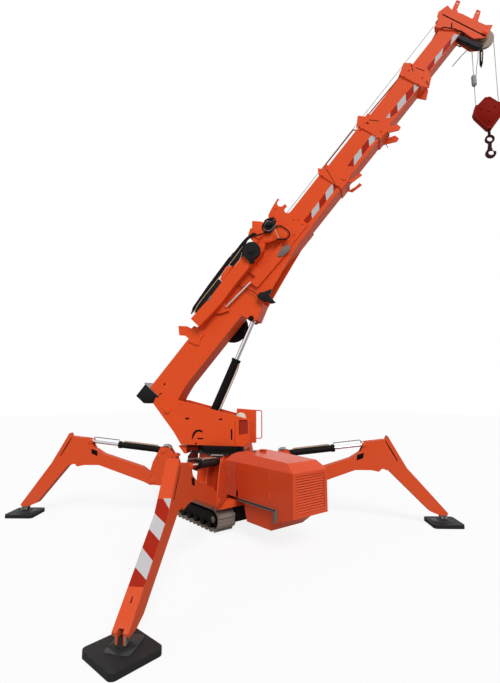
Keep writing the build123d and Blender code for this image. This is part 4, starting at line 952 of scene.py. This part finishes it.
def leg_film(name, outline, reach):
    """Film on the leg's outer face: outline in distance and width, folded over the bend, millimetres."""
    piece = circle(name, len(outline))
    for vertex, (r, w) in zip(piece.data.vertices, outline):
        vertex.co = (r / 1000, w / 1000, 0)
    open_mesh()
    bpy.ops.mesh.bisect(plane_co=(bend_r / 1000, 0, 0), plane_no=(1, 0, 0))
    bpy.ops.object.mode_set(mode="OBJECT")
    for vertex in piece.data.vertices:
        r, w = vertex.co.x, vertex.co.y
        vertex.co = (r, (outer_face(r * 1000, reach) + 0.6) / 1000, w)
    open_mesh()
    close_mesh()
    film = piece.modifiers.new("film", "SOLIDIFY")
    film.thickness = film_thickness / 1000
    film.offset = 0
    bpy.ops.object.modifier_apply(modifier=film.name)
    return piece


def stretched(outline, reach):
    """Moves a stripe along with the length of the leg; the long leg is the pattern."""
    factor = (reach + toe_out - stripes_start) / stripes_span
    return [(stripes_start + (r - stripes_start) * factor, w) for r, w in outline]


foot_red = [[(1640, 57), (1692, 57), (1750, -57), (1678, -57), (1640, 12)],
            [(1788, 57), (1894, 57), (1960, -57), (1850, -57)], [(2000, 57), (2095, 57), (2092, -57), (2058, -57)]]
foot_white = [[(1636, -57), (1637, 11), (1675, -57)], [(1692, 57), (1788, 57), (1850, -57), (1750, -57)],
              [(1894, 57), (2000, 57), (2058, -57), (1960, -57)]]
for corner in ("front_right", "front_left", "rear_right", "rear_left"):
    finish(leg_orange_shaded, "bracket_" + corner, "leg_" + corner)
    finish(pad_black, "pad_" + corner)
    finish(chassis_black, "barrel_" + corner)
    finish(hard_chrome, "rod_" + corner)
    leg, bracket, barrel, rod = ("leg_" + corner, "bracket_" + corner, "barrel_" + corner, "rod_" + corner)
    king = Vector(joints["yaw_" + corner]["pos_m"])
    pivot = Vector(joints["pitch_" + corner]["pos_m"])
    outwards = Vector((pivot.x - king.x, pivot.y - king.y, 0)).normalized()
    leg_place = axes(Vector((king.x, king.y, 0)), outwards, upwards)
    flat_place = axes(Vector((king.x, king.y, 0)), outwards, upwards.cross(outwards))
    pad_low, pad_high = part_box("pad_" + corner)
    reach = (((pad_low + pad_high) / 2) - king).dot(outwards) * 1000
    foot = Vector(joints["barrel_tilt_" + corner]["pos_m"])
    rod_along = Vector(joints["rod_slide_" + corner]["axis"]).normalized()
    cylinder_place = axes(foot, rod_along, outwards.cross(upwards).cross(rod_along).normalized())

    for colour, films, material in (("red", foot_red, stripe_red), ("white", foot_white, stripe_white)):
        stripes = [leg_film("stripe", stretched(outline, reach), reach) for outline in films]
        mounted(joined(stripes, "foot_stripes_" + colour + "_" + corner), leg_place, leg, "paint", material)
    # Black marks on both sides of the leg paint shade: inside the square hole in the arm's side plate and in the gap
    # at the knee. A small black mark sits on the outer face near the pad.
    marks = []
    for low, high in (layer(1, leg_face, 0.7), layer(-1, leg_face, 0.7)):
        marks.append(plate("mark", [(1163, 888), (1075, 862), (1068, 792), (1150, 822)], low, high))
        marks.append(plate("mark", [(1436, 1044), (1450, 1036), (1506, 942), (1590, 792), (1580, 786), (1490, 938)],
            low, high))
    marks.append(leg_film("mark", [(reach - 120, -4), (reach - 120, 4), (reach - 90, 2), (reach - 90, -6)], reach))
    mounted(joined(marks, "leg_marks_" + corner), leg_place, leg, "dark", joint_and_shade_black)
    places = both_ends(1175, 985, leg_face)
    repeated("knee_caps_" + corner, [(34, 0), (34, 5), (28, 8), (12, 8), (12, 12)], 24, places, leg_place, leg,
             "paint", leg_orange_shaded)
    places = both_ends(290, 470, bracket_face) + both_ends(160, 868, bracket_face)
    repeated("pivot_caps_" + corner, [(34, 0), (34, 6), (28, 9)], 24, places, leg_place, bracket, "paint", leg_orange_shaded)
    places = []
    for r, z in ((-20, 460), (-20, 560), (-20, 660), (40, 790), (230, 780), (320, 540)):
        places += both_ends(r, z, bracket_face)
    repeated("bracket_bolts_" + corner, [(9, 0), (9, 6), (7, 8)], 6, places, leg_place, bracket, "steel", bolt_steel)
    mounted(gland("gland_" + corner, 48, 23, 600, 640), cylinder_place @ to_axis, barrel, "dark", chassis_black)
    mounted(gland("collar_" + corner, 46, 42.2, 90, 112), cylinder_place @ to_axis, barrel, "dark", chassis_black)
    for turn_side, pipe_side in ((1, "a"), (-1, "b")):
        tube("barrel_pipe_" + pipe_side + "_" + corner,
             [(100, 36, turn_side * 22), (110, 50, turn_side * 28), (560, 50, turn_side * 28),
              (590, 38, turn_side * 24)],
             6.5, barrel, "steel", pipe_tan, cylinder_place)
    cover = plate("pin_cover_" + corner, [(60, 898), (78, 928), (112, 944), (166, 944), (166, 936), (114, 935),
        (86, 920), (70, 895)], -68, 68, edge=1.5)
    mounted(cover, leg_place, bracket, "grey", plate_grey)
    tube("stroke_rod_" + corner, [(630, 62, -10), (985, 62, -10), (1000, 30, -10)], 6, rod, "steel", bolt_steel,
         cylinder_place)
    fork = [(reach - 64, 158), (reach - 37, 72), (reach + 33, 72), (reach + 39, 158)]
    mounted(joined(both_faces("cheek", fork, 32.2, 3.4, edge=0.8), "fork_cheeks_" + corner), leg_place, leg, "steel",
            cheek_steel)
    boss = plate("pad_boss_" + corner, [(reach - 150, 78), (reach - 110, 92), (reach + 60, 92), (reach + 82, 76),
        (reach + 82, -76), (reach + 60, -92), (reach - 110, -92), (reach - 150, -78)], 46.2, 54, edge=4)
    mounted(boss, flat_place, leg, "rubber", boss_grey)
    repeated("ankle_bolts_" + corner, [(16, 0), (16, 6), (13, 8)], 6, both_ends(reach, 98, 37.2), leg_place, leg,
             "steel", bolt_steel)
